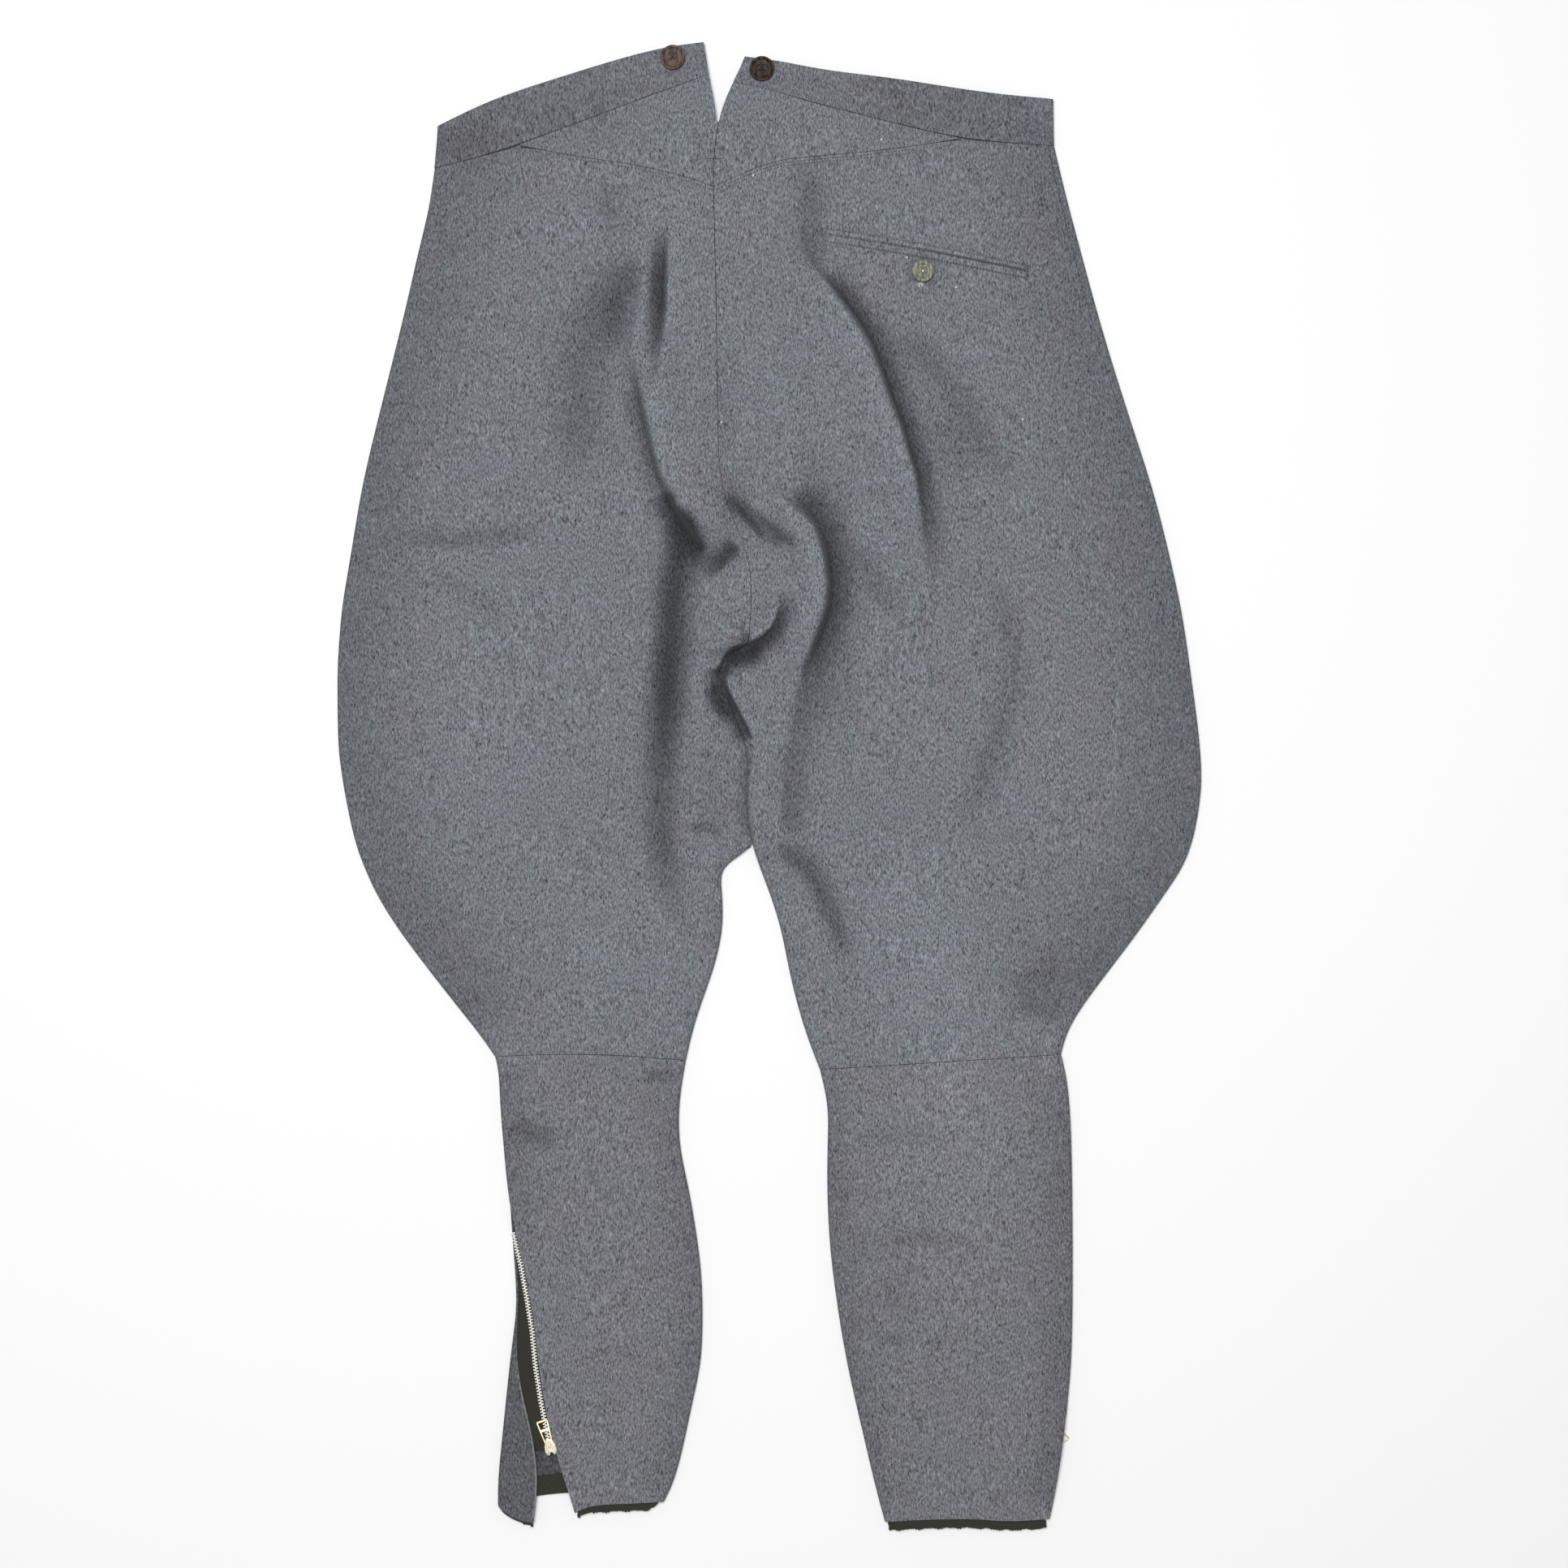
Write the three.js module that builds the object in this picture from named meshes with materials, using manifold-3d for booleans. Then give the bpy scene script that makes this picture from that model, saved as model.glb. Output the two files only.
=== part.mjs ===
// Riding breeches of thick blue-grey wool, laid flat with the seat up. Sizes are in millimetres.
// +Y runs from the hems to the waist, +Z points up, z = 0 is the surface that they lie on, and the
// origin is under the middle. -X is the wearer's left. Each leg is a flattened tube: a front panel
// flat on the surface, a back panel over it with the folds of the seat, and a fold at each edge.
import * as THREE from "three";
import { mergeVertices } from "three/addons/utils/BufferGeometryUtils.js";
import Module from "manifold-3d";

const wasm = await Module();
wasm.setup();

// ---------------------------------------------------------------- driving sizes
const CLOTH = 1.6; // the wool
const TAPE = 0.8; // hem tape and zip tape
const GAP = 0.3; // between two pieces, at a seam or one on the other
const SEAM = 0.4; // the same at a seam that runs through the folds or curves
const BEND = 2.4; // radius of a leg's side fold, to the middle of the cloth
const TURN_UNDER = 3; // how far a back panel runs on under the leg, past its side fold
const SHOULDER = 3; // flat strip of a grid beside a side fold
const SIDE_ROUND = 18; // how fast the back rises away from a side fold
const HEM_TAPE = 14; // width of the hem tape
const CHAIN = 4; // width of the closed zip teeth
const ZIP_TOP = -308; // upper end of both leg zips
const LEFT_ZIP_END = -450.4;
const RIGHT_ZIP_END = -456.5;
const RIGHT_ZIP_UNDER = 4; // from the right side fold to the zip, under the leg

const FLOOR = CLOTH / 2; // height of the middle of a front panel
const REACH = BEND + CLOTH / 2; // from a leg's outline to where its side fold begins
const HALF_TURN = Math.PI * BEND; // length of a side fold
const EDGE_HEIGHT = FLOOR + 2 * BEND; // height of the middle of a back panel at a side fold

// The right zip faces the surface, so the cloth rides up over its slider.
const RIDE = { x: 190, y: -456, height: 4.7, flat: 17, reach: 32 };

// ---------------------------------------------------------------- small maths
const lerp = (a, b, t) => a + (b - a) * t;
const degrees = THREE.MathUtils.degToRad;
const range = (count) => [...Array(count).keys()];
const steps = (from, to, count) => range(count + 1).map((i) => lerp(from, to, i / count));

/** Eases from 0 at one value to 1 at another, which may be the smaller. */
function smooth(from, to, value) {
  const t = THREE.MathUtils.clamp((value - from) / (to - from), 0, 1);
  return t * t * (3 - 2 * t);
}

/** Rows of numbers as objects with named columns. */
function table(names, rows) {
  const keys = names.split(" ");
  return rows.map((row) => Object.fromEntries(keys.map((key, i) => [key, row[i]])));
}

/** A smooth function through a table's rows that never swings past them. */
function through(rows, from, to) {
  const sorted = [...rows].sort((a, b) => a[from] - b[from]);
  const at = sorted.map((row) => row[from]);
  const value = sorted.map((row) => row[to]);
  const last = at.length - 1;
  const rise = range(last).map((i) => (value[i + 1] - value[i]) / (at[i + 1] - at[i]));
  const slope = range(last + 1).map((i) => {
    if (i === 0) return rise[0];
    if (i === last) return rise[last - 1];
    const product = rise[i - 1] * rise[i];
    return product <= 0 ? 0 : (2 * product) / (rise[i - 1] + rise[i]);
  });
  return (p) => {
    if (p <= at[0]) return value[0] + slope[0] * (p - at[0]);
    if (p >= at[last]) return value[last] + slope[last] * (p - at[last]);
    const i = at.findIndex((a, k) => k < last && p <= at[k + 1]);
    const width = at[i + 1] - at[i];
    const t = (p - at[i]) / width;
    const s = 1 - t;
    return (
      value[i] * s * s * (1 + 2 * t) +
      value[i + 1] * t * t * (1 + 2 * s) +
      slope[i] * width * t * s * s -
      slope[i + 1] * width * s * t * t
    );
  };
}

// ---------------------------------------------------------------- the outline
const OUTLINE = table("y left right", [
  [514, -230, 196],
  [456, -230, 196.5],
  [431, -232, 197.5],
  [408, -234, 205],
  [386, -240, 211],
  [341, -250, 223],
  [296, -261, 236],
  [252, -272, 250],
  [207, -282.5, 264.5],
  [162, -290, 276],
  [117, -297, 285.5],
  [72, -299.5, 292],
  [28, -299, 297.5],
  [5, -296, 299],
  [-17, -292, 296.5],
  [-40, -286.5, 291.5],
  [-62, -278, 281.5],
  [-84, -267.5, 265.5],
  [-107, -251, 250],
  [-151, -217, 216],
  [-174, -198.5, 203.5],
  [-185, -191, 201.5],
  [-197, -188, 204.5],
  [-219, -187, 207.5],
  [-263, -183, 209],
  [-308, -179, 209.5],
  [-353, -175, 209.5],
  [-398, -180, 208.5],
  [-442, -184.5, 204],
  [-487, -188.3, 197.5],
  [-514, -188, 192],
]);

// The seat seam, from the foot of the waist notch to the crotch, shared by the two backs.
const NOTCH_FOOT = 459;
const CROTCH = 99;
const SEAT_SEAM = table("y x", [
  [NOTCH_FOOT, -35.8],
  [428, -38.9],
  [319, -36.7],
  [229, -35.6],
  [196, -31],
  [171, -18.8],
  [151, -13.2],
  [126, -12.6],
  [CROTCH, -14.8],
]);

// The inner edges above and below it: the notch, the overlap at the crotch and the inner legs.
const INNER_LEFT = table("y x", [
  [515, -45.6],
  [490, -41.5],
  [NOTCH_FOOT, -35.8],
  [CROTCH, -14.8],
  [70, -11],
  [20, -9],
  [-30, -9.5],
  [-42, -11.5],
  [-51, -27],
  [-62, -35],
  [-84, -31],
  [-107, -33],
  [-151, -48],
  [-185, -57],
  [-230, -63],
  [-241, -63],
  [-286, -54],
  [-353, -46.2],
  [-387, -46.2],
  [-431, -54.6],
  [-476, -64.7],
  [-500, -76],
]);
const INNER_RIGHT = table("y x", [
  [515, -14.5],
  [504, -17.6],
  [484, -26.6],
  [NOTCH_FOOT, -35.8],
  [CROTCH, -14.8],
  [94, -24],
  [88, -30.5],
  [78, -33.3],
  [67, -31.6],
  [45, -24],
  [22, -14.5],
  [5, -17],
  [-17, -17],
  [-42, -11.5],
  [-62, -4.8],
  [-84, 3.6],
  [-107, 9.8],
  [-129, 13.2],
  [-174, 26],
  [-196, 34.5],
  [-230, 40.5],
  [-263, 39],
  [-308, 40.5],
  [-353, 45.6],
  [-398, 53],
  [-442, 63],
  [-487, 73.6],
  [-514, 81],
]);

// How much the back stands up from the front, down the garment.
const BALLOON = table("y left right", [
  [500, 0, 0],
  [430, 0.8, 0.8],
  [340, 3, 3],
  [230, 5, 5],
  [80, 6.5, 6.5],
  [-60, 5.5, 5.5],
  [-140, 4, 4],
  [-186, 2.4, 2.4],
  [-250, 3, 3],
  [-400, 2.5, 2.5],
  [-480, 0.8, 0.8],
  [-514, 0.2, 0.2],
]);

// An inner edge below the seat seam: free is 1 where it is an edge and 0 where it is sewn, under is the
// height of its lower layer, turned is 1 where it folds under, and rise is how fast it climbs inwards.
const FREE_LEFT = table("y free under turned rise", [
  [107, 0, 0.8, 0, 2.6],
  [99, 1, 0.8, 0, 2.6],
  [80, 1, 0.3, 0, 3.2],
  [60, 1, 0.2, 0, 6],
  [44, 1, 0.2, 0, 12],
  [-34, 1, 0.4, 0, 15],
  [-46, 1, 0.8, 0.5, 15],
  [-58, 1, 0.8, 1, 15],
  [-514, 1, 0.8, 1, 15],
]);
const FREE_RIGHT = table("y free under turned rise", [
  [101, 0, 10.5, 0, 8],
  [94, 1, 9.5, 0.5, 8],
  [84, 1, 8.8, 1, 9],
  [40, 1, 8.2, 1, 11],
  [-10, 1, 8, 1, 12],
  [-36, 1, 6.5, 1, 13],
  [-52, 1, 3, 1, 14],
  [-68, 1, 0.8, 1, 15],
  [-514, 1, 0.8, 1, 15],
]);

/** One side of the garment; out is -1 on the wearer's left and 1 on the right. */
function makeSide(name, out, innerRows, freeRows) {
  return {
    name,
    out,
    outer: through(OUTLINE, "y", name),
    inner: innerEdge(innerRows),
    balloon: through(BALLOON, "y", name),
    free: clampedThrough(freeRows, "free"),
    under: clampedThrough(freeRows, "under"),
    turned: clampedThrough(freeRows, "turned"),
    rise: clampedThrough(freeRows, "rise"),
  };
}
function innerEdge(rows) {
  const seam = through(SEAT_SEAM, "y", "x");
  const free = through(rows, "y", "x");
  return (y) => (y < NOTCH_FOOT && y > CROTCH ? seam(y) : free(y));
}
function clampedThrough(rows, column) {
  const curve = through(rows, "y", column);
  const ys = rows.map((row) => row.y);
  const low = Math.min(...ys);
  const high = Math.max(...ys);
  return (y) => curve(THREE.MathUtils.clamp(y, low, high));
}
const LEFT = makeSide("left", -1, INNER_LEFT, FREE_LEFT);
const RIGHT = makeSide("right", 1, INNER_RIGHT, FREE_RIGHT);

// ---------------------------------------------------------------- the folds
// A fold is a ridge along a path. Its slopes fall over port and starboard, the widths to the left and
// right of the path's own direction, and it swells and dies over the shares enter and leave.
const FOLDS = table("height port starboard enter leave path", [
  // seat, left edge: one short crease from the yoke, then the long rolled edge down to the crotch
  [4, 26, 5, 0.4, 0.5, [[-71, 405], [-71, 356], [-74, 325], [-74, 290]]],
  [14.5, 40, 7, 0.35, 0.12, [
    [-84, 352], [-89, 308], [-85, 274], [-76, 240], [-67, 212], [-55, 184], [-38, 166], [-24, 154],
  ]],
  // seat, right edge: it drops to the right
  [13, 8, 48, 0.4, 0.45, [
    [17, 405], [22, 376], [31, 355], [49, 333], [67, 306],
    [81, 268], [94, 230], [102, 190], [106, 150], [108, 118],
  ]],
  // roll on the right of the crotch, which drops to the right too
  [12, 24, 7, 0.35, 0.4, [[12, 62], [22, 82], [33, 112], [37.5, 140], [35, 160], [24, 184], [6, 208]]],
  // the puff over the crotch, its lower edge
  [9, 18, 4.5, 0.02, 0.5, [[-17, 99], [-4, 102], [9, 114], [15, 128], [17, 150]]],
  // its left flank down beside the pit
  [9, 5, 24, 0.5, 0.3, [[-44, 40], [-40, 56], [-37, 78], [-32, 94], [-22, 104]]],
  // valley across the puff, and the dimple under the left edge
  [-7, 7, 7, 0.3, 0.3, [[-30, 201], [-16, 190], [-2, 178], [11, 169], [25, 166]]],
  [-5, 7, 7, 0.4, 0.4, [[-28, 166], [-34, 150], [-40, 140]]],
  // long valley down the left thigh
  [-8.5, 12, 15, 0.15, 0.35, [
    [-60, 186], [-61, 150], [-66, 105], [-71, 60], [-74, 10], [-75, -40], [-66, -75], [-52, -108],
  ]],
  // soft hollow left of the seat
  [-4.5, 20, 22, 0.3, 0.5, [[-86, 355], [-117, 340], [-145, 318], [-150, 288], [-139, 240], [-130, 190]]],
  [-2.5, 9, 9, 0.5, 0.5, [[-139, 405], [-136, 375]]],
  // soft valley down the right thigh
  [-2.5, 22, 22, 0.4, 0.4, [[130, 160], [158, 118], [168, 70], [158, -17], [135, -75]]],
  // right inner thigh: hollow beside the roll, and the slanting crease below it
  [-4, 9, 9, 0.4, 0.5, [[15, 50], [16, 10], [14, -40]]],
  [-4, 9, 10, 0.35, 0.4, [[6, -42], [29, -67], [46, -95], [54, -125]]],
]).map((fold) => ({ ...fold, line: pathPoints(fold.path) }));

function pathPoints(path) {
  const curve = new THREE.CatmullRomCurve3(path.map(([x, y]) => new THREE.Vector3(x, y, 0)));
  return curve.getPoints(28);
}

/** Height that one fold adds at a point. */
function foldHeight(fold, x, y) {
  let best = { distance: Infinity, along: 0, hand: 1 };
  const count = fold.line.length - 1;
  for (let i = 0; i < count; i++) {
    const a = fold.line[i];
    const b = fold.line[i + 1];
    const dx = b.x - a.x;
    const dy = b.y - a.y;
    const t = THREE.MathUtils.clamp(((x - a.x) * dx + (y - a.y) * dy) / (dx * dx + dy * dy), 0, 1);
    const distance = Math.hypot(x - a.x - dx * t, y - a.y - dy * t);
    if (distance < best.distance) {
      best = { distance, along: (i + t) / count, hand: dx * (y - a.y) - dy * (x - a.x) };
    }
  }
  const width = best.hand > 0 ? fold.port : fold.starboard;
  const swell = smooth(0, fold.enter, best.along) * smooth(0, fold.leave, 1 - best.along);
  return fold.height * swell * Math.exp(-((best.distance / width) ** 2));
}

// ---------------------------------------------------------------- the cloth's place
/** How far the cloth rides up over the right slider. */
function ride(x, y) {
  const far = Math.hypot(x - RIDE.x, y - RIDE.y);
  return RIDE.height * (1 - smooth(RIDE.flat, RIDE.reach, far));
}

/** Height of the middle of the back at a point. */
function backHeight(side, x, y) {
  const inwards = Math.max(0, side.out * (side.outer(y) - x) - REACH);
  const rounding = 1 - Math.exp(-inwards / SIDE_ROUND);
  let height = EDGE_HEIGHT + side.balloon(y) * rounding;
  for (const fold of FOLDS) height += foldHeight(fold, x, y) * rounding;
  height = Math.max(height, EDGE_HEIGHT);
  const free = side.free(y);
  if (free > 0) {
    const overlap = RIGHT.inner(y) - GAP * 8;
    const own = side.inner(y) + side.out * REACH;
    const start = side === LEFT ? Math.min(own, overlap) : own;
    const clear = Math.max(0, side.out * (x - start));
    const edge = side.under(y) + 2 * BEND;
    height += free * Math.exp(-clear / side.rise(y)) * (edge - height);
  }
  return height + ride(x, y);
}

/** The cloth round the outer side fold. along is 0 where the fold begins on top, and grows outwards. */
function roundOuter(side, y, along) {
  const start = side.outer(y) - side.out * REACH;
  if (along <= 0) {
    const x = start + side.out * along;
    return new THREE.Vector3(x, y, backHeight(side, x, y));
  }
  if (along >= HALF_TURN) {
    const x = start - side.out * (along - HALF_TURN);
    return new THREE.Vector3(x, y, FLOOR + ride(x, y));
  }
  const angle = along / BEND;
  const x = start + side.out * BEND * Math.sin(angle);
  return new THREE.Vector3(x, y, FLOOR + BEND + BEND * Math.cos(angle) + ride(x, y));
}

const INNER_TURN = TURN_UNDER + HALF_TURN + SHOULDER; // a back panel's inner strip, laid straight
/** The cloth round the inner edge: inwards is measured from its raw edge. */
function roundInner(side, y, inwards) {
  const edge = side.inner(y);
  const share = inwards / INNER_TURN;
  const flatX = edge + side.out * lerp(SEAM / 2, REACH + SHOULDER, share);
  const flat = new THREE.Vector3(flatX, y, backHeight(side, flatX, y));
  const turned = side.turned(y);
  if (turned <= 0) return flat;
  const start = edge + side.out * REACH;
  const low = side.under(y);
  let x = start + side.out * (TURN_UNDER - inwards);
  let z = low + ride(x, y);
  if (inwards > TURN_UNDER + HALF_TURN) {
    x = start + side.out * (inwards - TURN_UNDER - HALF_TURN);
    z = backHeight(side, x, y);
  } else if (inwards > TURN_UNDER) {
    const angle = (inwards - TURN_UNDER) / BEND;
    x = start - side.out * BEND * Math.sin(angle);
    z = low + BEND - BEND * Math.cos(angle) + ride(x, y);
  }
  return flat.lerp(new THREE.Vector3(x, y, z), turned);
}

// ---------------------------------------------------------------- making solids
/** A grid of points, grid[column][row], moved off its own surface by a distance. */
function offset(grid, distance) {
  const lastColumn = grid.length - 1;
  const lastRow = grid[0].length - 1;
  return grid.map((column, i) =>
    column.map((point, j) => {
      const across = grid[Math.min(i + 1, lastColumn)][j].clone().sub(grid[Math.max(i - 1, 0)][j]);
      const down = column[Math.min(j + 1, lastRow)].clone().sub(column[Math.max(j - 1, 0)]);
      return point.clone().addScaledVector(across.cross(down).normalize(), distance);
    }),
  );
}
/** The same, inwards into its leg where distance is positive. */
const inside = (side, grid, distance) => offset(grid, side.out * distance);

/** A closed wall of the given thickness round a grid of middle points. */
function wall(grid, thickness) {
  const columns = grid.length;
  const rows = grid[0].length;
  const points = [...offset(grid, thickness / 2).flat(), ...offset(grid, -thickness / 2).flat()];
  const index = [];
  const id = (layer, i, j) => (layer * columns + i) * rows + j;
  const quad = (a, b, c, d) => index.push(a, b, c, a, c, d);
  for (let i = 0; i < columns - 1; i++) {
    for (let j = 0; j < rows - 1; j++) {
      quad(id(0, i, j), id(0, i + 1, j), id(0, i + 1, j + 1), id(0, i, j + 1));
      quad(id(1, i, j), id(1, i, j + 1), id(1, i + 1, j + 1), id(1, i + 1, j));
    }
  }
  const rim = [
    ...range(columns - 1).map((i) => [i, 0]),
    ...range(rows - 1).map((j) => [columns - 1, j]),
    ...range(columns - 1).map((i) => [columns - 1 - i, rows - 1]),
    ...range(rows - 1).map((j) => [0, rows - 1 - j]),
  ];
  rim.forEach(([i, j], k) => {
    const [m, n] = rim[(k + 1) % rim.length];
    quad(id(0, i, j), id(1, i, j), id(1, m, n), id(0, m, n));
  });
  const geometry = new THREE.BufferGeometry().setFromPoints(points);
  geometry.setIndex(volumeOf(points, index) < 0 ? index.reverse() : index);
  geometry.computeVertexNormals();
  return geometry;
}

function volumeOf(points, index) {
  let six = 0;
  for (let k = 0; k < index.length; k += 3) {
    const [a, b, c] = [points[index[k]], points[index[k + 1]], points[index[k + 2]]];
    six += a.dot(b.clone().cross(c));
  }
  return six / 6;
}

/** The height y at which a column meets a seam: xAt(y) is the column, seam(x) the seam. */
function meet(xAt, seam, guess) {
  let y = guess;
  for (let i = 0; i < 12; i++) y = seam(xAt(y));
  return y;
}

const SOFTEN = 3; // how many levels take up a seam's rise or fall
/**
 * Grid of a piece: each column is a function of y, with points at the given levels. Its first and last
 * points lie on the top and bottom seams, and the next few levels close up or spread to suit.
 */
function hang(columns, top, bottom, levels) {
  return columns.map((column) => {
    const high = meet((y) => column(y).x, top, levels[0]);
    const low = meet((y) => column(y).x, bottom, levels.at(-1));
    return fitted(levels, high, low).map(column);
  });
}
/** The levels with the first moved to high and the last to low, and the few beside them to suit. */
function fitted(levels, high, low) {
  const last = levels.length - 1;
  return levels.map((y, k) => {
    const fromTop = Math.max(0, 1 - k / SOFTEN) * (high - levels[0]);
    const fromBottom = Math.max(0, 1 - (last - k) / SOFTEN) * (low - levels[last]);
    return y + fromTop + fromBottom;
  });
}

/** The same for a narrow piece: its points divide each column in the given shares. */
function hangShares(columns, top, bottom, shares, guess) {
  return columns.map((column) => {
    const high = meet((y) => column(y).x, top, guess);
    const low = meet((y) => column(y).x, bottom, guess);
    return shares.map((share) => column(lerp(high, low, share)));
  });
}

/** The point at x, y on a face through a grid's points, and that face's normal, facing up. */
function onFace(face, x, y) {
  for (let i = 0; i < face.length - 1; i++) {
    for (let j = 0; j < face[0].length - 1; j++) {
      const a = face[i][j];
      const far = face[i + 1][j + 1];
      for (const [b, c] of [[face[i + 1][j], far], [far, face[i][j + 1]]]) {
        const area = (b.x - a.x) * (c.y - a.y) - (b.y - a.y) * (c.x - a.x);
        const s = ((x - a.x) * (c.y - a.y) - (y - a.y) * (c.x - a.x)) / area;
        const t = ((b.x - a.x) * (y - a.y) - (b.y - a.y) * (x - a.x)) / area;
        if (s < 0 || t < 0 || s + t > 1) continue;
        const normal = b.clone().sub(a).cross(c.clone().sub(a)).normalize();
        if (normal.z < 0) normal.negate();
        return { point: new THREE.Vector3(x, y, a.z + s * (b.z - a.z) + t * (c.z - a.z)), normal };
      }
    }
  }
  throw new Error("no face at " + x + ", " + y);
}

const solidOf = (geometry) => {
  const bare = geometry.clone();
  bare.deleteAttribute("normal");
  bare.deleteAttribute("uv");
  const merged = mergeVertices(bare, 1e-4);
  const vertProperties = new Float32Array(merged.attributes.position.array);
  const triVerts = new Uint32Array(merged.index.array);
  return new wasm.Manifold(new wasm.Mesh({ numProp: 3, vertProperties, triVerts }));
};
function geometryOf(solid) {
  const mesh = solid.getMesh();
  const geometry = new THREE.BufferGeometry();
  geometry.setAttribute("position", new THREE.BufferAttribute(new Float32Array(mesh.vertProperties), 3));
  geometry.setIndex(new THREE.BufferAttribute(new Uint32Array(mesh.triVerts), 1));
  geometry.computeVertexNormals();
  return geometry;
}

// ---------------------------------------------------------------- finishes
const finish = (color, roughness, metalness) => new THREE.MeshStandardMaterial({ color, roughness, metalness });
const WOOL = finish(0x7a7d83, 0.95, 0);
const BAND_WOOL = finish(0x6b6b70, 0.95, 0);
const DARK_TAPE = finish(0x383835, 0.9, 0);
const BRASS = finish(0xc9b98a, 0.35, 1);
const TEETH = finish(0xb8b6a8, 0.4, 1);
const HORN = finish(0x3a2c25, 0.35, 0);
const ALLOY = finish(0x77786a, 0.45, 0.6);

const breeches = new THREE.Group();
function addPiece(name, geometry, material) {
  const mesh = new THREE.Mesh(geometry, material);
  mesh.name = name;
  breeches.add(mesh);
  return mesh;
}

// ---------------------------------------------------------------- seams across the garment
const lineOf = (rows) => through(table("x y", rows), "x", "y");
const BAND_TOP_LEFT = lineOf([
  [-230, 456], [-209, 467], [-181, 478.5], [-146, 489.7], [-110, 501], [-66, 512], [-45, 514.4],
]);
const BAND_TOP_RIGHT = lineOf([
  [-18, 504.5], [10, 501], [35, 495.5], [84, 489.7], [120, 484], [158, 478.5], [197, 475],
]);
const BAND_SEAM_LEFT = lineOf([
  [-230, 427.5], [-197, 436], [-144, 454.5], [-108, 468], [-72, 481.3], [-41, 492.5],
]);
const BAND_SEAM_RIGHT = lineOf([
  [-26, 486.5], [0, 482], [18, 475.7], [62, 464.5], [112, 452.2], [142, 446.6], [170, 444.4], [200, 442.5],
]);
const YOKE_SEAM_LEFT = lineOf([[-190, 446], [-174, 443], [-137, 436], [-90, 428.7], [-50, 418.6], [-34, 412]]);
const YOKE_SEAM_RIGHT = lineOf([
  [-40, 413.5], [-27, 419.7], [-9, 427.6], [9, 433.2], [58, 437.6], [100, 442.5], [140, 449],
]);
const KNEE_LEFT = (x) => -184.5 - 0.0007 * (x + 139) ** 2;
const KNEE_RIGHT = (x) => -195 + 0.062 * (x - 36);
const HEM_LEFT = lineOf([[-136, -502], [-125, -497], [-112, -495.4], [-90, -494.6], [-72, -493.5]]);
const HEM_RIGHT = lineOf([[80, -507.6], [104, -506.2], [140, -505.4], [164, -507.3], [195, -505.4]]);

/** A seam lowered by half the gap, or raised by it where the sign is 1. */
const beside = (seam, sign) => (x) => seam(x) + (sign * SEAM) / 2;

// ---------------------------------------------------------------- back panels
// The right side seam shows on top of the leg: along is how far it is from the side fold.
const SIDE_SEAM_ROWS = table("y along", [
  [442, -1.3],
  [409, -2],
  [350, -3],
  [296, -2.4],
  [240, -3.2],
  [130, -0.9],
  [60, -0.3],
  [20, 0],
  [-190, 0],
]);
const RIGHT_SIDE_SEAM = through(SIDE_SEAM_ROWS, "y", "along");
const FULL_WRAP = () => HALF_TURN + TURN_UNDER;
const INNER_STRIP = [0, TURN_UNDER, ...steps(TURN_UNDER, TURN_UNDER + HALF_TURN, 4).slice(1)];
const WRAP_SHARES = [0.2, 0.4, 0.6, 0.8, 0.96, 1];

/** Columns of a back piece from its inner edge to its outer one; end(y) is where it stops round the side. */
function backColumns(side, cells, crowd, end, wraps) {
  const inner = INNER_STRIP.map((inwards) => (y) => roundInner(side, y, inwards));
  const topEnd = (y) => (wraps ? Math.min(-SHOULDER, end(y) - SHOULDER) : end(y));
  const across = steps(0, 1, cells).map((share) => (y) => {
    const from = side.inner(y) + side.out * (REACH + SHOULDER);
    const to = side.outer(y) - side.out * (REACH - topEnd(y));
    const x = lerp(from, to, share ** crowd);
    return new THREE.Vector3(x, y, backHeight(side, x, y));
  });
  if (!wraps) return [...inner, ...across];
  const outer = WRAP_SHARES.map((share) => (y) => roundOuter(side, y, lerp(topEnd(y), end(y), share)));
  return [...inner, ...across, ...outer];
}

// Levels of the points of the panels above the knee, closer together at the crotch.
const LEVELS = [
  414, 390, 366, 342, 318, 294, 270, 246, 224, 202, 182, 164, 147, 130, 116, 106, 98, 91, 83, 73, 60, 44, 24, 2,
  -18, -31, -42, -51, -60, -76, -100, -126, -152, -172, -189,
];

const leftBackTop = (x) => Math.min(BAND_SEAM_LEFT(x), x > -190 ? YOKE_SEAM_LEFT(x) : Infinity) - GAP / 2;
const rightBackTop = (x) => Math.min(BAND_SEAM_RIGHT(x), x < 140 ? YOKE_SEAM_RIGHT(x) : Infinity) - GAP / 2;

const leftBackColumns = backColumns(LEFT, 12, 1.3, FULL_WRAP, true);
const backLeft = hang(leftBackColumns, leftBackTop, beside(KNEE_LEFT, 1), LEVELS);
addPiece("back_left", wall(backLeft, CLOTH), WOOL);

const rightBackEnd = (y) => RIGHT_SIDE_SEAM(y) - GAP;
const rightBackColumns = backColumns(RIGHT, 13, 1.3, rightBackEnd, false);
const backRight = hang(rightBackColumns, rightBackTop, beside(KNEE_RIGHT, 1), LEVELS);
addPiece("back_right", wall(backRight, CLOTH), WOOL);

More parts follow.
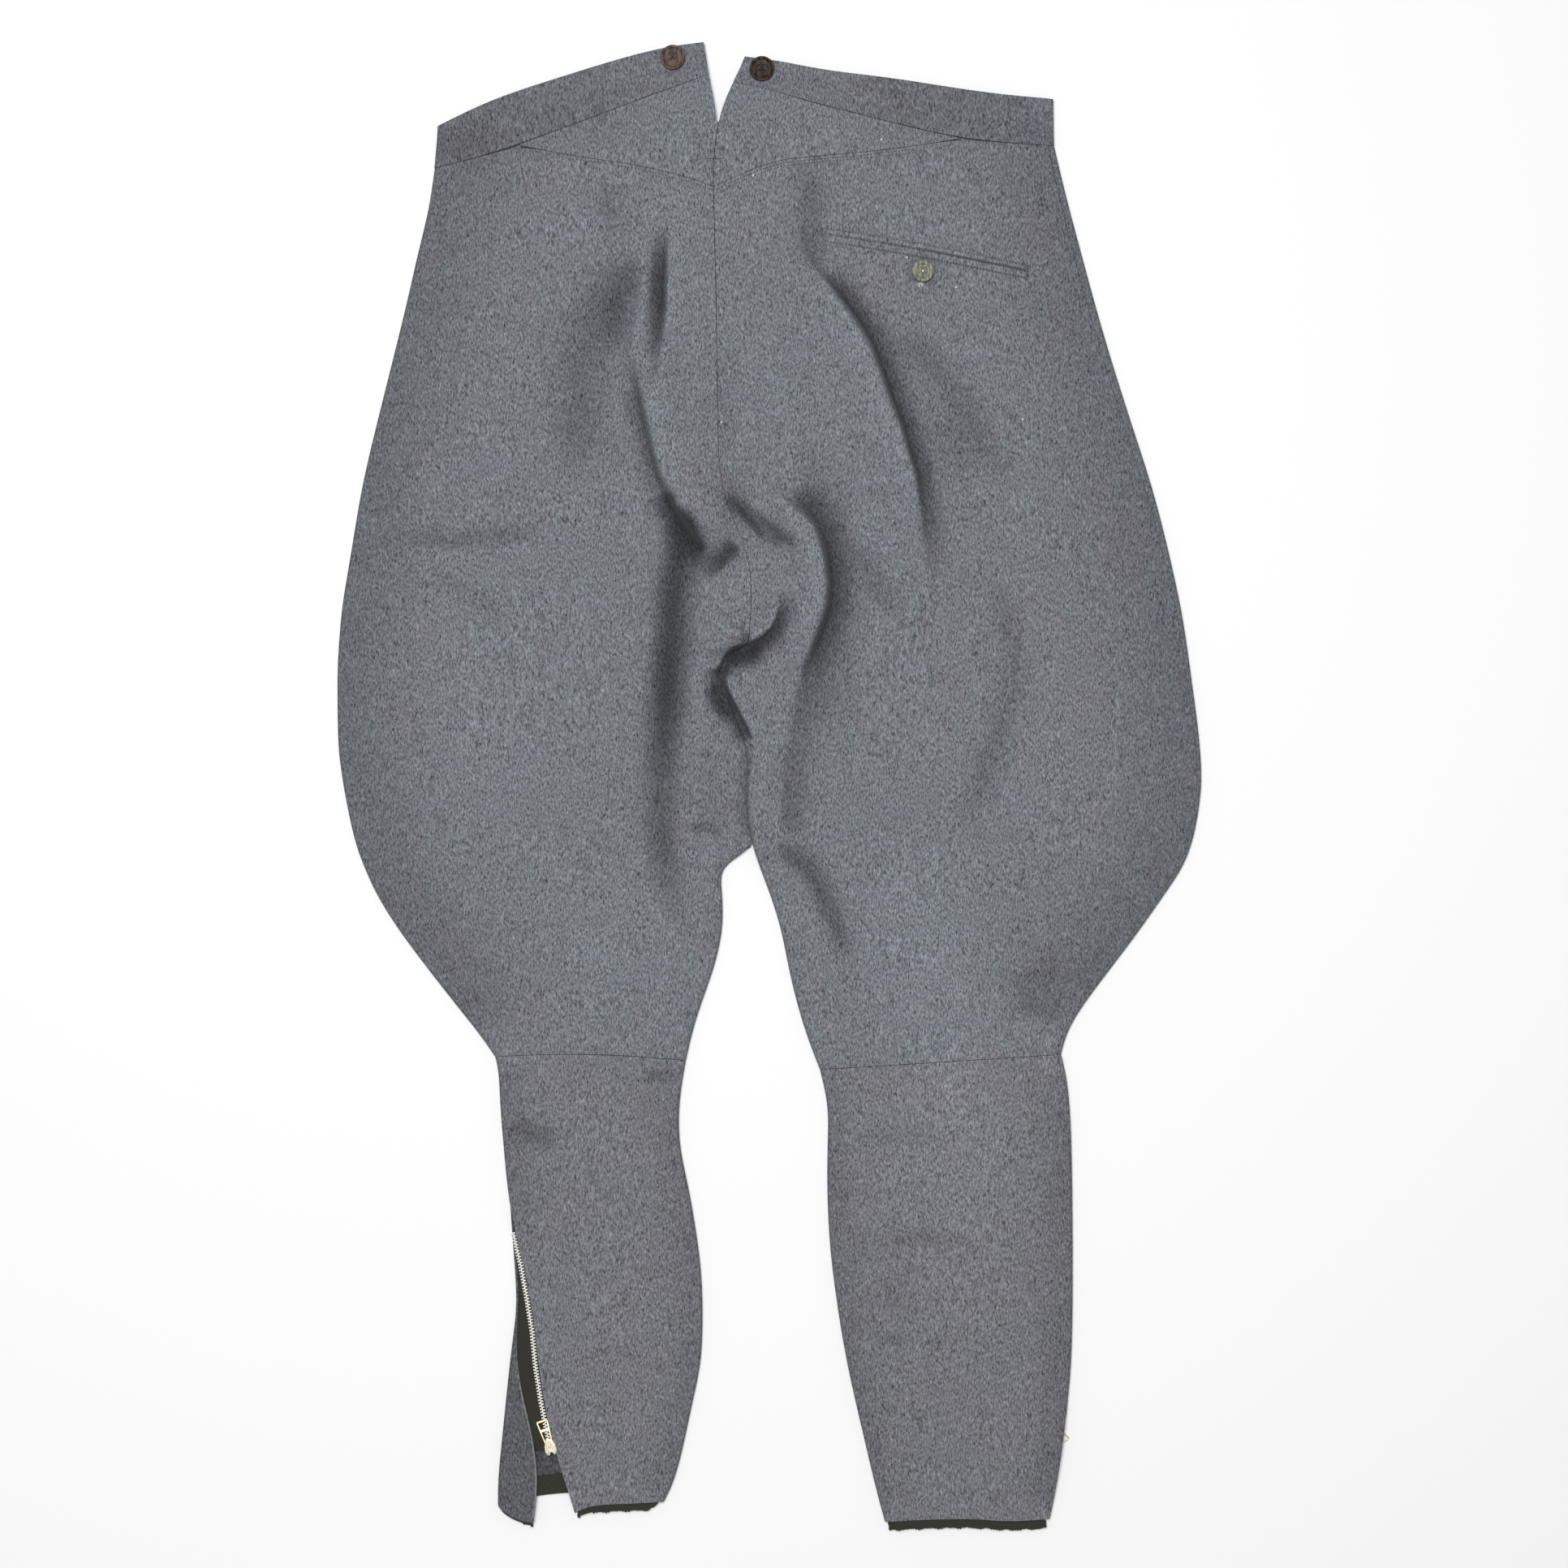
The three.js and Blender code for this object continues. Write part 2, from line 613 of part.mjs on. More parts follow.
// ---------------------------------------------------------------- yokes and back waistband
/** A yoke: the back panel's own columns as far as the tip, between the yoke seam and the waistband's. */
function yokeGrid(side, columns, tip, top, bottom) {
  const seamY = bottom(side.inner(414));
  const inTip = (column) => side.out * (tip - column(440).x) > 5;
  const within = columns.filter((column, i) => (i === 0 || i >= INNER_STRIP.length) && inTip(column));
  const all = [...within, (y) => new THREE.Vector3(tip, y, backHeight(side, tip, y))];
  const high = top(side.inner(480));
  const notch = (high - NOTCH_FOOT) / (high - seamY);
  const shares = [0, notch / 2, notch, lerp(notch, 1, 1 / 3), lerp(notch, 1, 2 / 3), 1];
  return hangShares(all, beside(top, -1), beside(bottom, 1), shares, 450);
}
const YOKE_TIP = { left: -172.5, right: 132 };
const yokeLeft = yokeGrid(LEFT, leftBackColumns, YOKE_TIP.left, BAND_SEAM_LEFT, YOKE_SEAM_LEFT);
const yokeRight = yokeGrid(RIGHT, rightBackColumns, YOKE_TIP.right, BAND_SEAM_RIGHT, YOKE_SEAM_RIGHT);
addPiece("yoke_left", wall(yokeLeft, CLOTH), WOOL);
addPiece("yoke_right", wall(yokeRight, CLOTH), WOOL);

function bandGrid(side, top, bottom) {
  const cells = 8;
  const across = steps(0, 1, cells).map((share) => (y) => {
    const from = side.inner(y) + (side.out * GAP) / 2;
    const to = side.outer(y) - side.out * (REACH + SHOULDER);
    const x = lerp(from, to, share);
    return new THREE.Vector3(x, y, backHeight(side, x, y));
  });
  const outer = WRAP_SHARES.map((share) => (y) => roundOuter(side, y, lerp(-SHOULDER, FULL_WRAP(), share)));
  return hangShares([...across, ...outer], top, beside(bottom, 1), steps(0, 1, 3), 470);
}
const waistbandLeft = bandGrid(LEFT, BAND_TOP_LEFT, BAND_SEAM_LEFT);
const waistbandRight = bandGrid(RIGHT, BAND_TOP_RIGHT, BAND_SEAM_RIGHT);
addPiece("waistband_back_left", wall(waistbandLeft, CLOTH), BAND_WOOL);
addPiece("waistband_back_right", wall(waistbandRight, CLOTH), BAND_WOOL);

// ---------------------------------------------------------------- front panels, flat on the surface
const UNDER_END = REACH + TURN_UNDER + SEAM; // from the outline to the seam under the leg
const FORK_TOP = -20;
const FORK_LOW = -36;
/** The inner edge of a front panel: the centre seam down to the fork, then the inner leg. */
function frontInner(side, y) {
  const centre = lerp(-35, -11.5, (440 - y) / 482) + (side.out * SEAM) / 2;
  const leg = side.inner(y) + side.out * UNDER_END;
  return lerp(centre, leg, smooth(FORK_TOP, FORK_LOW, y));
}
const floorPoint = (x, y) => new THREE.Vector3(x, y, FLOOR + ride(x, y));

const FRONT_BAND_TOP = (x) => 457 + 0.0365 * (x + 228) - 14 * Math.sin((Math.PI * (x + 228)) / 424);
const FRONT_BAND_SEAM = (x) => 428 + 0.034 * (x + 228) - 14 * Math.sin((Math.PI * (x + 228)) / 424);

function frontColumns(side, cells, outerEdge) {
  return steps(0, 1, cells).map((share) => (y) => {
    return floorPoint(lerp(frontInner(side, y), outerEdge(y), share), y);
  });
}
const underEdge = (side) => (y) => side.outer(y) - side.out * UNDER_END;
const FRONT_CELLS = 5;
const frontLeft = hang(
  frontColumns(LEFT, FRONT_CELLS, underEdge(LEFT)),
  beside(FRONT_BAND_SEAM, -1),
  beside(KNEE_LEFT, 1),
  LEVELS,
);
addPiece("front_left", wall(frontLeft, CLOTH), WOOL);

// The right front comes round the side fold, and its seam shows on top.
const rightFrontColumns = [
  ...frontColumns(RIGHT, FRONT_CELLS, underEdge(RIGHT)),
  ...steps(0, 1, 5).map((share) => (y) => roundOuter(RIGHT, y, lerp(HALF_TURN, RIGHT_SIDE_SEAM(y), share))),
];
const rightFrontTop = (x) => (x > 191 ? BAND_SEAM_RIGHT(x) : FRONT_BAND_SEAM(x)) - SEAM / 2;
const frontRight = hang(rightFrontColumns, rightFrontTop, beside(KNEE_RIGHT, 1), LEVELS);
addPiece("front_right", wall(frontRight, CLOTH), WOOL);

function frontBand(side) {
  const columns = steps(0, 1, FRONT_CELLS).map((share) => (y) => {
    return floorPoint(lerp(-35 + (side.out * SEAM) / 2, underEdge(side)(y), share), y);
  });
  return hangShares(columns, FRONT_BAND_TOP, beside(FRONT_BAND_SEAM, 1), steps(0, 1, 3), 440);
}
addPiece("waistband_front_left", wall(frontBand(LEFT), CLOTH), BAND_WOOL);
addPiece("waistband_front_right", wall(frontBand(RIGHT), CLOTH), BAND_WOOL);

// ---------------------------------------------------------------- below the knee
// On the left leg the side seam climbs round the fold, and the zip opens between these two edges.
// along is measured round the outer fold as in roundOuter.
const LEFT_OPENING = table("y back front", [
  [-185, 10.5, 11],
  [-250, 7.3, 8],
  [-278, 5.2, 6],
  [-290, 4.1, 5.4],
  [-308, 0, 5.2],
  [-325, -3, 4.6],
  [-353, -6.3, 3.4],
  [-364, -9, 2.4],
  [-387, -14.7, -0.1],
  [-402, -18, -3],
  [-421, -23, -8.6],
  [-441, -28.3, -15.7],
  [-456, -33.8, -20.7],
  [-474, -41.3, -24.6],
  [-499, -49.8, -23.2],
  [-514, -53, -20.5],
]);
const leftBackEdge = through(LEFT_OPENING, "y", "back");
const leftFrontEdge = through(LEFT_OPENING, "y", "front");
// Levels of the points of the calf pieces; the zips share those between their ends.
const CALF_LEVELS = [
  -187, -196, -208, -226, -250, -278, -308, -330, -353, -376, -400, -425, -448, -472, -488, -500,
];
const zipLevels = (end) => [...CALF_LEVELS.filter((y) => y <= ZIP_TOP && y > end + 4), end];

const calfBackLeft = hang(
  backColumns(LEFT, 7, 1, leftBackEdge, true),
  beside(KNEE_LEFT, -1),
  HEM_LEFT,
  CALF_LEVELS,
);
addPiece("calf_back_left", wall(calfBackLeft, CLOTH), WOOL);

const rightBackEdge = () => HALF_TURN + RIGHT_ZIP_UNDER;
const calfBackRight = hang(
  backColumns(RIGHT, 7, 1, rightBackEdge, true),
  beside(KNEE_RIGHT, -1),
  HEM_RIGHT,
  CALF_LEVELS,
);
addPiece("calf_back_right", wall(calfBackRight, CLOTH), WOOL);

// The left front calf: its hem is given along the cloth, from the free edge round the fold.
const LEFT_FRONT_HEM = lineOf([
  [-27, -509], [-15, -507.3], [-8, -505], [0, -499.5], [3.8, -495.5], [7.5, -493.5], [35, -488], [55, -486],
  [85, -487], [130, -494],
]);
const leftKneeAlong = (along) => KNEE_LEFT(LEFT.outer(-187) + along - HALF_TURN) - SEAM;
const leftInnerAlong = (y) => HALF_TURN + LEFT.inner(y) - UNDER_END - (LEFT.outer(y) + REACH);
const FOLD_ALONG = steps(-SHOULDER, HALF_TURN, 6);
/** Columns of the left front calf as lengths along the cloth, from its free edge to its inner seam. */
const flapEnd = (y) => Math.max(-SHOULDER, leftFrontEdge(y) + 1);
const foldEnd = (y) => Math.max(HALF_TURN, leftFrontEdge(y) + 3.6);
const leftFrontAlong = [
  ...steps(0, 1, 3).map((share) => (y) => lerp(leftFrontEdge(y), flapEnd(y), share)),
  ...FOLD_ALONG.slice(1).map((along, i) => (y) => Math.max(along, leftFrontEdge(y) + 1.4 + 0.4 * i)),
  ...steps(0, 1, 6).slice(1).map((share) => (y) => lerp(foldEnd(y), leftInnerAlong(y), share)),
];
const leftFrontColumns = (alongs) => alongs.map((along) => (y) => roundOuter(LEFT, y, along(y)));
const calfFrontLeft = leftFrontColumns(leftFrontAlong).map((column, i) => {
  const high = meet(leftFrontAlong[i], leftKneeAlong, CALF_LEVELS[0]);
  const low = meet(leftFrontAlong[i], LEFT_FRONT_HEM, CALF_LEVELS.at(-1));
  return fitted(CALF_LEVELS, high, low).map(column);
});
addPiece("calf_front_left", wall(calfFrontLeft, CLOTH), WOOL);

const rightFrontEdge = (y) =>
  lerp(RIGHT_ZIP_UNDER + SEAM, RIGHT_ZIP_UNDER + CHAIN + 2 * SEAM, smooth(-278, ZIP_TOP, y));
const rightFrontOuter = (y) => RIGHT.outer(y) - REACH - rightFrontEdge(y);
const calfFrontRight = hang(
  frontColumns(RIGHT, 8, rightFrontOuter),
  beside(KNEE_RIGHT, -1),
  (x) => HEM_RIGHT(x) + 1,
  CALF_LEVELS,
);
addPiece("calf_front_right", wall(calfFrontRight, CLOTH), WOOL);

// ---------------------------------------------------------------- hem tapes
const ON_CLOTH = CLOTH / 2 + SEAM + TAPE / 2; // from the middle of the cloth to the middle of a tape on it
const TAPE_SHOWS = 5.5;
/** Tape inside a hem: it runs across from one side fold to the other and shows below the cloth. */
function hemTapeGrid(side, from, to, hem, shows, heightAt) {
  return steps(0, 1, 8).map((share) => {
    const xAt = (y) => lerp(from(y), to(y), share);
    const low = meet(xAt, (x) => hem(x) - shows, -505);
    return steps(0, 1, 2).map((down) => {
      const y = lerp(low + HEM_TAPE, low, down);
      const x = xAt(y);
      return new THREE.Vector3(x, y, heightAt(side, x, y));
    });
  });
}
const innerFold = (side) => (y) => side.inner(y) + side.out * (REACH + 0.5);
const outerFold = (side) => (y) => side.outer(y) - side.out * (REACH + 0.5);
const underBack = (side, x, y) => backHeight(side, x, y) - ON_CLOTH - 0.1;
const overFront = (side, x, y) => FLOOR + ride(x, y) + ON_CLOTH;
const leftSlitEdge = (y) => LEFT.outer(y) + REACH - leftBackEdge(y) + 2.5;
addPiece(
  "hem_tape_back_left",
  wall(hemTapeGrid(LEFT, innerFold(LEFT), leftSlitEdge, HEM_LEFT, TAPE_SHOWS - 1, underBack), TAPE),
  DARK_TAPE,
);
addPiece(
  "hem_tape_back_right",
  wall(hemTapeGrid(RIGHT, innerFold(RIGHT), outerFold(RIGHT), HEM_RIGHT, TAPE_SHOWS, underBack), TAPE),
  DARK_TAPE,
);
addPiece(
  "hem_tape_front_right",
  wall(hemTapeGrid(RIGHT, innerFold(RIGHT), outerFold(RIGHT), HEM_RIGHT, TAPE_SHOWS - 1.5, overFront), TAPE),
  DARK_TAPE,
);
// The left front tape follows its calf round the fold, inside it.
const leftTapeAlong = [
  ...steps(0, 1, 3).map((share) => (y) => lerp(leftFrontEdge(y) + 1, -SHOULDER, share)),
  ...steps(0, HALF_TURN, 5).map((along) => () => along),
  ...steps(0, 1, 5).slice(1).map((share) => (y) => lerp(HALF_TURN, leftInnerAlong(y) - 1, share)),
];
const leftTapeLow = (along) => LEFT_FRONT_HEM(along) - 1.6;
const leftTapeGrid = leftFrontColumns(leftTapeAlong).map((column, i) => {
  const low = meet(leftTapeAlong[i], leftTapeLow, -495);
  return steps(low + HEM_TAPE, low, 2).map(column);
});
addPiece("hem_tape_front_left", wall(inside(LEFT, leftTapeGrid, ON_CLOTH), TAPE), DARK_TAPE);

// ---------------------------------------------------------------- zip tapes and teeth
/** A strip along a zip: from(y) and to(y) are lengths round the outer fold. */
function zipStrip(side, from, to, cells, levels) {
  return steps(0, 1, cells).map((share) => {
    return levels.map((y) => roundOuter(side, y, lerp(from(y), to(y), share)));
  });
}
const leftChainFrom = (y) => leftBackEdge(y) + GAP;
const leftChainTo = (y) => leftBackEdge(y) + GAP + CHAIN;
const leftTapeTo = (y) => Math.max(leftFrontEdge(y) + 4, leftChainTo(y) + 1);
const leftTeeth = zipStrip(LEFT, leftChainFrom, leftChainTo, 3, zipLevels(LEFT_ZIP_END));
addPiece("zip_teeth_left", wall(leftTeeth, CLOTH), TEETH);
const leftZipTape = zipStrip(LEFT, (y) => leftBackEdge(y) - 6, leftTapeTo, 9, zipLevels(LEFT_ZIP_END - 8));
addPiece("zip_tape_left", wall(inside(LEFT, leftZipTape, ON_CLOTH), TAPE), DARK_TAPE);

const rightChainFrom = () => HALF_TURN + RIGHT_ZIP_UNDER + SEAM;
const rightChainTo = () => rightChainFrom() + CHAIN;
const rightTapeFrom = () => HALF_TURN + 1;
const rightTapeTo = () => rightChainTo() + 5;
const rightTeeth = zipStrip(RIGHT, rightChainFrom, rightChainTo, 2, zipLevels(RIGHT_ZIP_END));
addPiece("zip_teeth_right", wall(rightTeeth, CLOTH), TEETH);
const rightZipTape = zipStrip(RIGHT, rightTapeFrom, rightTapeTo, 3, zipLevels(RIGHT_ZIP_END - 8));
addPiece("zip_tape_right", wall(inside(RIGHT, rightZipTape, ON_CLOTH), TAPE), DARK_TAPE);

// ---------------------------------------------------------------- sliders and pull tabs
const SLIDER = { plate: 1.6, seat: CLOTH / 2 + GAP, pivotAlong: 2.2, pivotUp: 1 };
const STRAP = { thick: 0.7, half: 0.5, postIn: 1.45, postOut: 2 };
const PULL = { thick: 0.9, length: 17.2, rootHalf: 2.75, tipHalf: 4.2 };
const SLIDER_FACE = SLIDER.seat + SLIDER.plate;
const PIVOT_HEIGHT = SLIDER_FACE + SLIDER.pivotUp;

function box(x0, x1, y0, y1, z0, z1) {
  const geometry = new THREE.BoxGeometry(x1 - x0, y1 - y0, z1 - z0);
  geometry.translate((x0 + x1) / 2, (y0 + y1) / 2, (z0 + z1) / 2);
  return geometry;
}
function outlineShape(points) {
  return new THREE.Shape(points.map(([x, y]) => new THREE.Vector2(x, y)));
}
const extrude = (shape, depth) => new THREE.ExtrudeGeometry(shape, { depth, bevelEnabled: false });
const mirrored = (half) => [...half, ...half.map(([x, y]) => [-x, y]).reverse()];

/** Slider: a plate with two lobes where the tapes part, a post between them, and a strap over the pivot. */
function sliderGeometry() {
  const half = [[0.5, -3.6], [1.7, -5.5], [3.2, -5], [4.1, -3], [3.8, 0.5], [2.6, 4.6], [1.6, 5.5]];
  const plate = extrude(outlineShape(mirrored(half)), SLIDER.plate).translate(0, 0, SLIDER.seat);
  const near = [SLIDER.pivotAlong - STRAP.postOut, SLIDER.pivotAlong - STRAP.postIn];
  const far = [SLIDER.pivotAlong + STRAP.postIn, SLIDER.pivotAlong + STRAP.postOut];
  const root = SLIDER_FACE - 0.4;
  const top = PIVOT_HEIGHT + SLIDER.pivotUp;
  const pieces = [
    box(-STRAP.half, STRAP.half, near[0], near[1], root, top + 0.2),
    box(-STRAP.half, STRAP.half, far[0], far[1], root, top + 0.2),
    box(-STRAP.half, STRAP.half, near[0], far[1], top, top + STRAP.thick),
    box(-0.9, 0.9, -3.4, -1.4, -CLOTH / 2, SLIDER.seat + 0.4),
  ];
  return geometryOf(pieces.map(solidOf).reduce((all, piece) => all.add(piece), solidOf(plate)));
}

/** Pull tab, flat, from its pivot at the origin along +Y: a frame with a window and an open root. */
function pullGeometry() {
  const { thick, length, rootHalf, tipHalf } = PULL;
  const bar = thick / 2;
  const frame = outlineShape(
    mirrored([[rootHalf - 0.3, -bar], [rootHalf, 0], [tipHalf, length - 1], [tipHalf - 0.8, length]]),
  );
  const root = mirrored([[1.9, bar], [2.5, 9.2]]);
  const window = mirrored([[2.6, 11], [3.1, length - 1.4]]);
  for (const hole of [root, window]) {
    frame.holes.push(new THREE.Path(hole.map(([x, y]) => new THREE.Vector2(x, y))));
  }
  return extrude(frame, thick).translate(0, 0, -thick / 2);
}

/** Puts a slider and its pull at a zip's end. heading is the zip's direction; facing is 1 up or -1 down. */
function placeZip(name, centre, heading, facing, twist, tilt) {
  const along = new THREE.Vector3(Math.cos(heading), Math.sin(heading), 0);
  const normal = new THREE.Vector3(0, 0, facing);
  const across = along.clone().cross(normal);
  const turn = new THREE.Matrix4().makeBasis(across, along, normal);
  const slider = addPiece("zip_slider_" + name, sliderGeometry(), BRASS);
  slider.quaternion.setFromRotationMatrix(turn);
  slider.position.copy(centre);
  const pull = addPiece("zip_pull_" + name, pullGeometry(), BRASS);
  pull.position.copy(centre).addScaledVector(along, SLIDER.pivotAlong).addScaledVector(normal, PIVOT_HEIGHT);
  pull.quaternion.setFromRotationMatrix(turn);
  pull.rotateZ(twist);
  pull.rotateX(-tilt);
  return pull;
}

const chainCentre = (side, y, from, to) => roundOuter(side, y, (from(y) + to(y)) / 2);
const leftSliderY = LEFT_ZIP_END - 4.9;
const leftCentre = chainCentre(LEFT, leftSliderY, leftChainFrom, leftChainTo);
leftCentre.z += 0.25;
const leftAbove = chainCentre(LEFT, leftSliderY + 20, leftChainFrom, leftChainTo);
const leftHeading = Math.atan2(leftAbove.y - leftCentre.y, leftAbove.x - leftCentre.x);
placeZip("left", leftCentre, leftHeading, 1, degrees(5), degrees(6));

const rightSliderY = RIGHT_ZIP_END - 4.9;
const rightCentre = chainCentre(RIGHT, rightSliderY, rightChainFrom, rightChainTo);
const rightAbove = chainCentre(RIGHT, rightSliderY + 20, rightChainFrom, rightChainTo);
const rightHeading = Math.atan2(rightAbove.y - rightCentre.y, rightAbove.x - rightCentre.x);
placeZip("right", rightCentre, rightHeading, -1, degrees(40), degrees(-4));

// ---------------------------------------------------------------- buttons
/** A four-hole button with a raised rim, standing on z = 0. */
function buttonGeometry(diameter, height) {
  const r = diameter / 2;
  const profile = [
    [0, 0], [r * 0.72, 0], [r * 0.96, height * 0.3], [r, height * 0.62], [r * 0.93, height * 0.94],
    [r * 0.82, height], [r * 0.66, height * 0.72], [0, height * 0.62],
  ].map(([x, y]) => new THREE.Vector2(x, y));
  const turned = new THREE.LatheGeometry(profile, 18).rotateX(Math.PI / 2);
  let solid = solidOf(turned);
  const spread = r * 0.2;
  for (const [sx, sy] of [[1, 1], [1, -1], [-1, 1], [-1, -1]]) {
    const hole = new THREE.CylinderGeometry(r * 0.1, r * 0.1, height * 3, 6).rotateX(Math.PI / 2);
    solid = solid.subtract(solidOf(hole.translate(sx * spread, sy * spread, 0)));
  }
  return geometryOf(solid);
}

/** Sews a button on a face, level with the cloth under its middle. */
function sewButton(name, face, x, y, size, off, material) {
  const { point, normal } = onFace(face, x, y);
  const button = addPiece(name, buttonGeometry(size.diameter, size.height), material);
  button.position.copy(point).addScaledVector(normal, off);
  button.quaternion.setFromUnitVectors(new THREE.Vector3(0, 0, 1), normal);
}
const BRACE_BUTTON = { diameter: 17, height: 3.4 };
const POCKET_BUTTON = { diameter: 15, height: 3 };
const bandLeftFace = inside(LEFT, waistbandLeft, -CLOTH / 2);
const bandRightFace = inside(RIGHT, waistbandRight, -CLOTH / 2);
const backRightFace = inside(RIGHT, backRight, -CLOTH / 2);
sewButton("brace_button_left", bandLeftFace, -67, 503.3, BRACE_BUTTON, GAP, HORN);
sewButton("brace_button_right", bandRightFace, -5.5, 495.5, BRACE_BUTTON, GAP, HORN);
sewButton("pocket_button", backRightFace, 105.5, 355.5, POCKET_BUTTON, 0.6, ALLOY);

// ---------------------------------------------------------------- hip pocket
const POCKET = { from: 35.6, to: 178.4, welt: 5, thick: 1, off: 0.45 };
const POCKET_MOUTH = lineOf([[35, 381], [71, 376], [105, 370], [134, 364.3], [179, 355.2]]);
const inPocket = (x) => x > POCKET.from + 4 && x < POCKET.to - 4;
const weltStations = [POCKET.from, ...backRight.map((column) => column[2].x).filter(inPocket), POCKET.to];
/** A welt of the pocket: high and low are its edges, above or below the mouth. */
function weltGrid(high, low) {
  return weltStations.map((x) =>
    steps(high, low, 2).map((rise) => {
      const { point, normal } = onFace(backRightFace, x, POCKET_MOUTH(x) + rise);
      return point.addScaledVector(normal, POCKET.off + POCKET.thick / 2);
    }),
  );
}
addPiece("pocket_welt_upper", wall(weltGrid(POCKET.welt, GAP / 2), POCKET.thick), WOOL);
addPiece("pocket_welt_lower", wall(weltGrid(-GAP / 2, -POCKET.welt), POCKET.thick), WOOL);

export default breeches;
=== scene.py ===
"""Riding breeches of heavy wool, laid flat on a pale surface with the seat up.

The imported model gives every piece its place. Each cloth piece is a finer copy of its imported
solid, with the small folds, the seams and the sewing added. Lengths are in millimetres where
a name or a docstring says so, and in metres everywhere else.
"""

import logging
import math
from dataclasses import dataclass, field
from enum import Enum
from typing import Any, Sequence, Union

import bmesh
import bpy
import numpy as np
from mathutils import Matrix, Vector
from mathutils.bvhtree import BVHTree


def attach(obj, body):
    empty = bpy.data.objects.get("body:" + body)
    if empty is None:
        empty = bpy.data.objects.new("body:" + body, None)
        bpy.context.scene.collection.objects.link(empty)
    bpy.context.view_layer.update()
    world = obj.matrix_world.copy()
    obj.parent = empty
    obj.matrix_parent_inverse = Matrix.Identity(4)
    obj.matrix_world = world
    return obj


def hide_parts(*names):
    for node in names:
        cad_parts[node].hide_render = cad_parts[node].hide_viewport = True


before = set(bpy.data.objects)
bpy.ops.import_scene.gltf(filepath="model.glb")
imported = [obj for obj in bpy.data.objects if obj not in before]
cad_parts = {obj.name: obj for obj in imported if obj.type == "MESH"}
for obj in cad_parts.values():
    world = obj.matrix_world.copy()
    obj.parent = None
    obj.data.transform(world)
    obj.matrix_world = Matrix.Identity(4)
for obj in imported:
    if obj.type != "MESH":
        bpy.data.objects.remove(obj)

LOG = logging.getLogger("breeches")
MM = 0.001
ROOT = "root"
MERGED = 0.002 * MM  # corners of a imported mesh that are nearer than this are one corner
PAINTED_SHADE_ATTRIBUTE = "hollow"  # painted shade in the cloth's colour: darker in the folds' valleys, on slopes, towards the edges and on the layer under the flap; below 0 it is painted light
UP = Vector((0, 0, 1))


class Slot(Enum):
    """The kinds of material."""

    WOOL = "wool"
    BAND = "band_wool"
    TAPE = "dark_tape"
    TEETH = "zip_teeth"
    METAL = "zip_metal"
    HORN = "horn"
    POCKET_BUTTON = "pocket_button"


class Facing(Enum):
    """Which way the face of a leg's zip looks."""

    UP = 1
    DOWN = -1


Colour = tuple[float, float, float]
Path = Sequence[tuple[float, float]]
Number = Union["Channel", float]
Looks = dict[str, Any]  # a value or a Channel for each named input of a Principled BSDF


# ---------------------------------------------------------------------------------------------
# Materials
# ---------------------------------------------------------------------------------------------


def srgb(red: float, green: float, blue: float) -> Colour:
    """Linear colour from display values of 0 to 255."""
    return tuple(((c / 255 + 0.055) / 1.055) ** 2.4 for c in (red, green, blue))


class Channel:
    """A node's output socket, with arithmetic that adds Math nodes."""

    def __init__(self, graph: "Graph", socket: bpy.types.NodeSocket) -> None:
        """Wraps a socket of a graph."""
        self.graph = graph
        self.socket = socket

    def _math(self, operation: str, first: Number, second: Number) -> "Channel":
        """The result of one Math node."""
        return self.graph.node("ShaderNodeMath", {"operation": operation}, {0: first, 1: second})

    def __add__(self, other: Number) -> "Channel":
        """Sum."""
        return self._math("ADD", self, other)

    def __sub__(self, other: Number) -> "Channel":
        """Difference."""
        return self._math("SUBTRACT", self, other)

    def __rsub__(self, other: Number) -> "Channel":
        """Difference, from a number."""
        return self._math("SUBTRACT", other, self)

    def __mul__(self, other: Number) -> "Channel":
        """Product."""
        return self._math("MULTIPLY", self, other)

    __radd__ = __add__
    __rmul__ = __mul__

    def larger(self, other: Number) -> "Channel":
        """The larger of two values."""
        return self._math("MAXIMUM", self, other)

    def above(self, low: float, high: float) -> "Channel":
        """0 below low, 1 above high and even in between."""
        inputs = {0: self, 1: low, 2: high, 3: 0.0, 4: 1.0}
        return self.graph.node("ShaderNodeMapRange", {"interpolation_type": "SMOOTHSTEP"}, inputs)


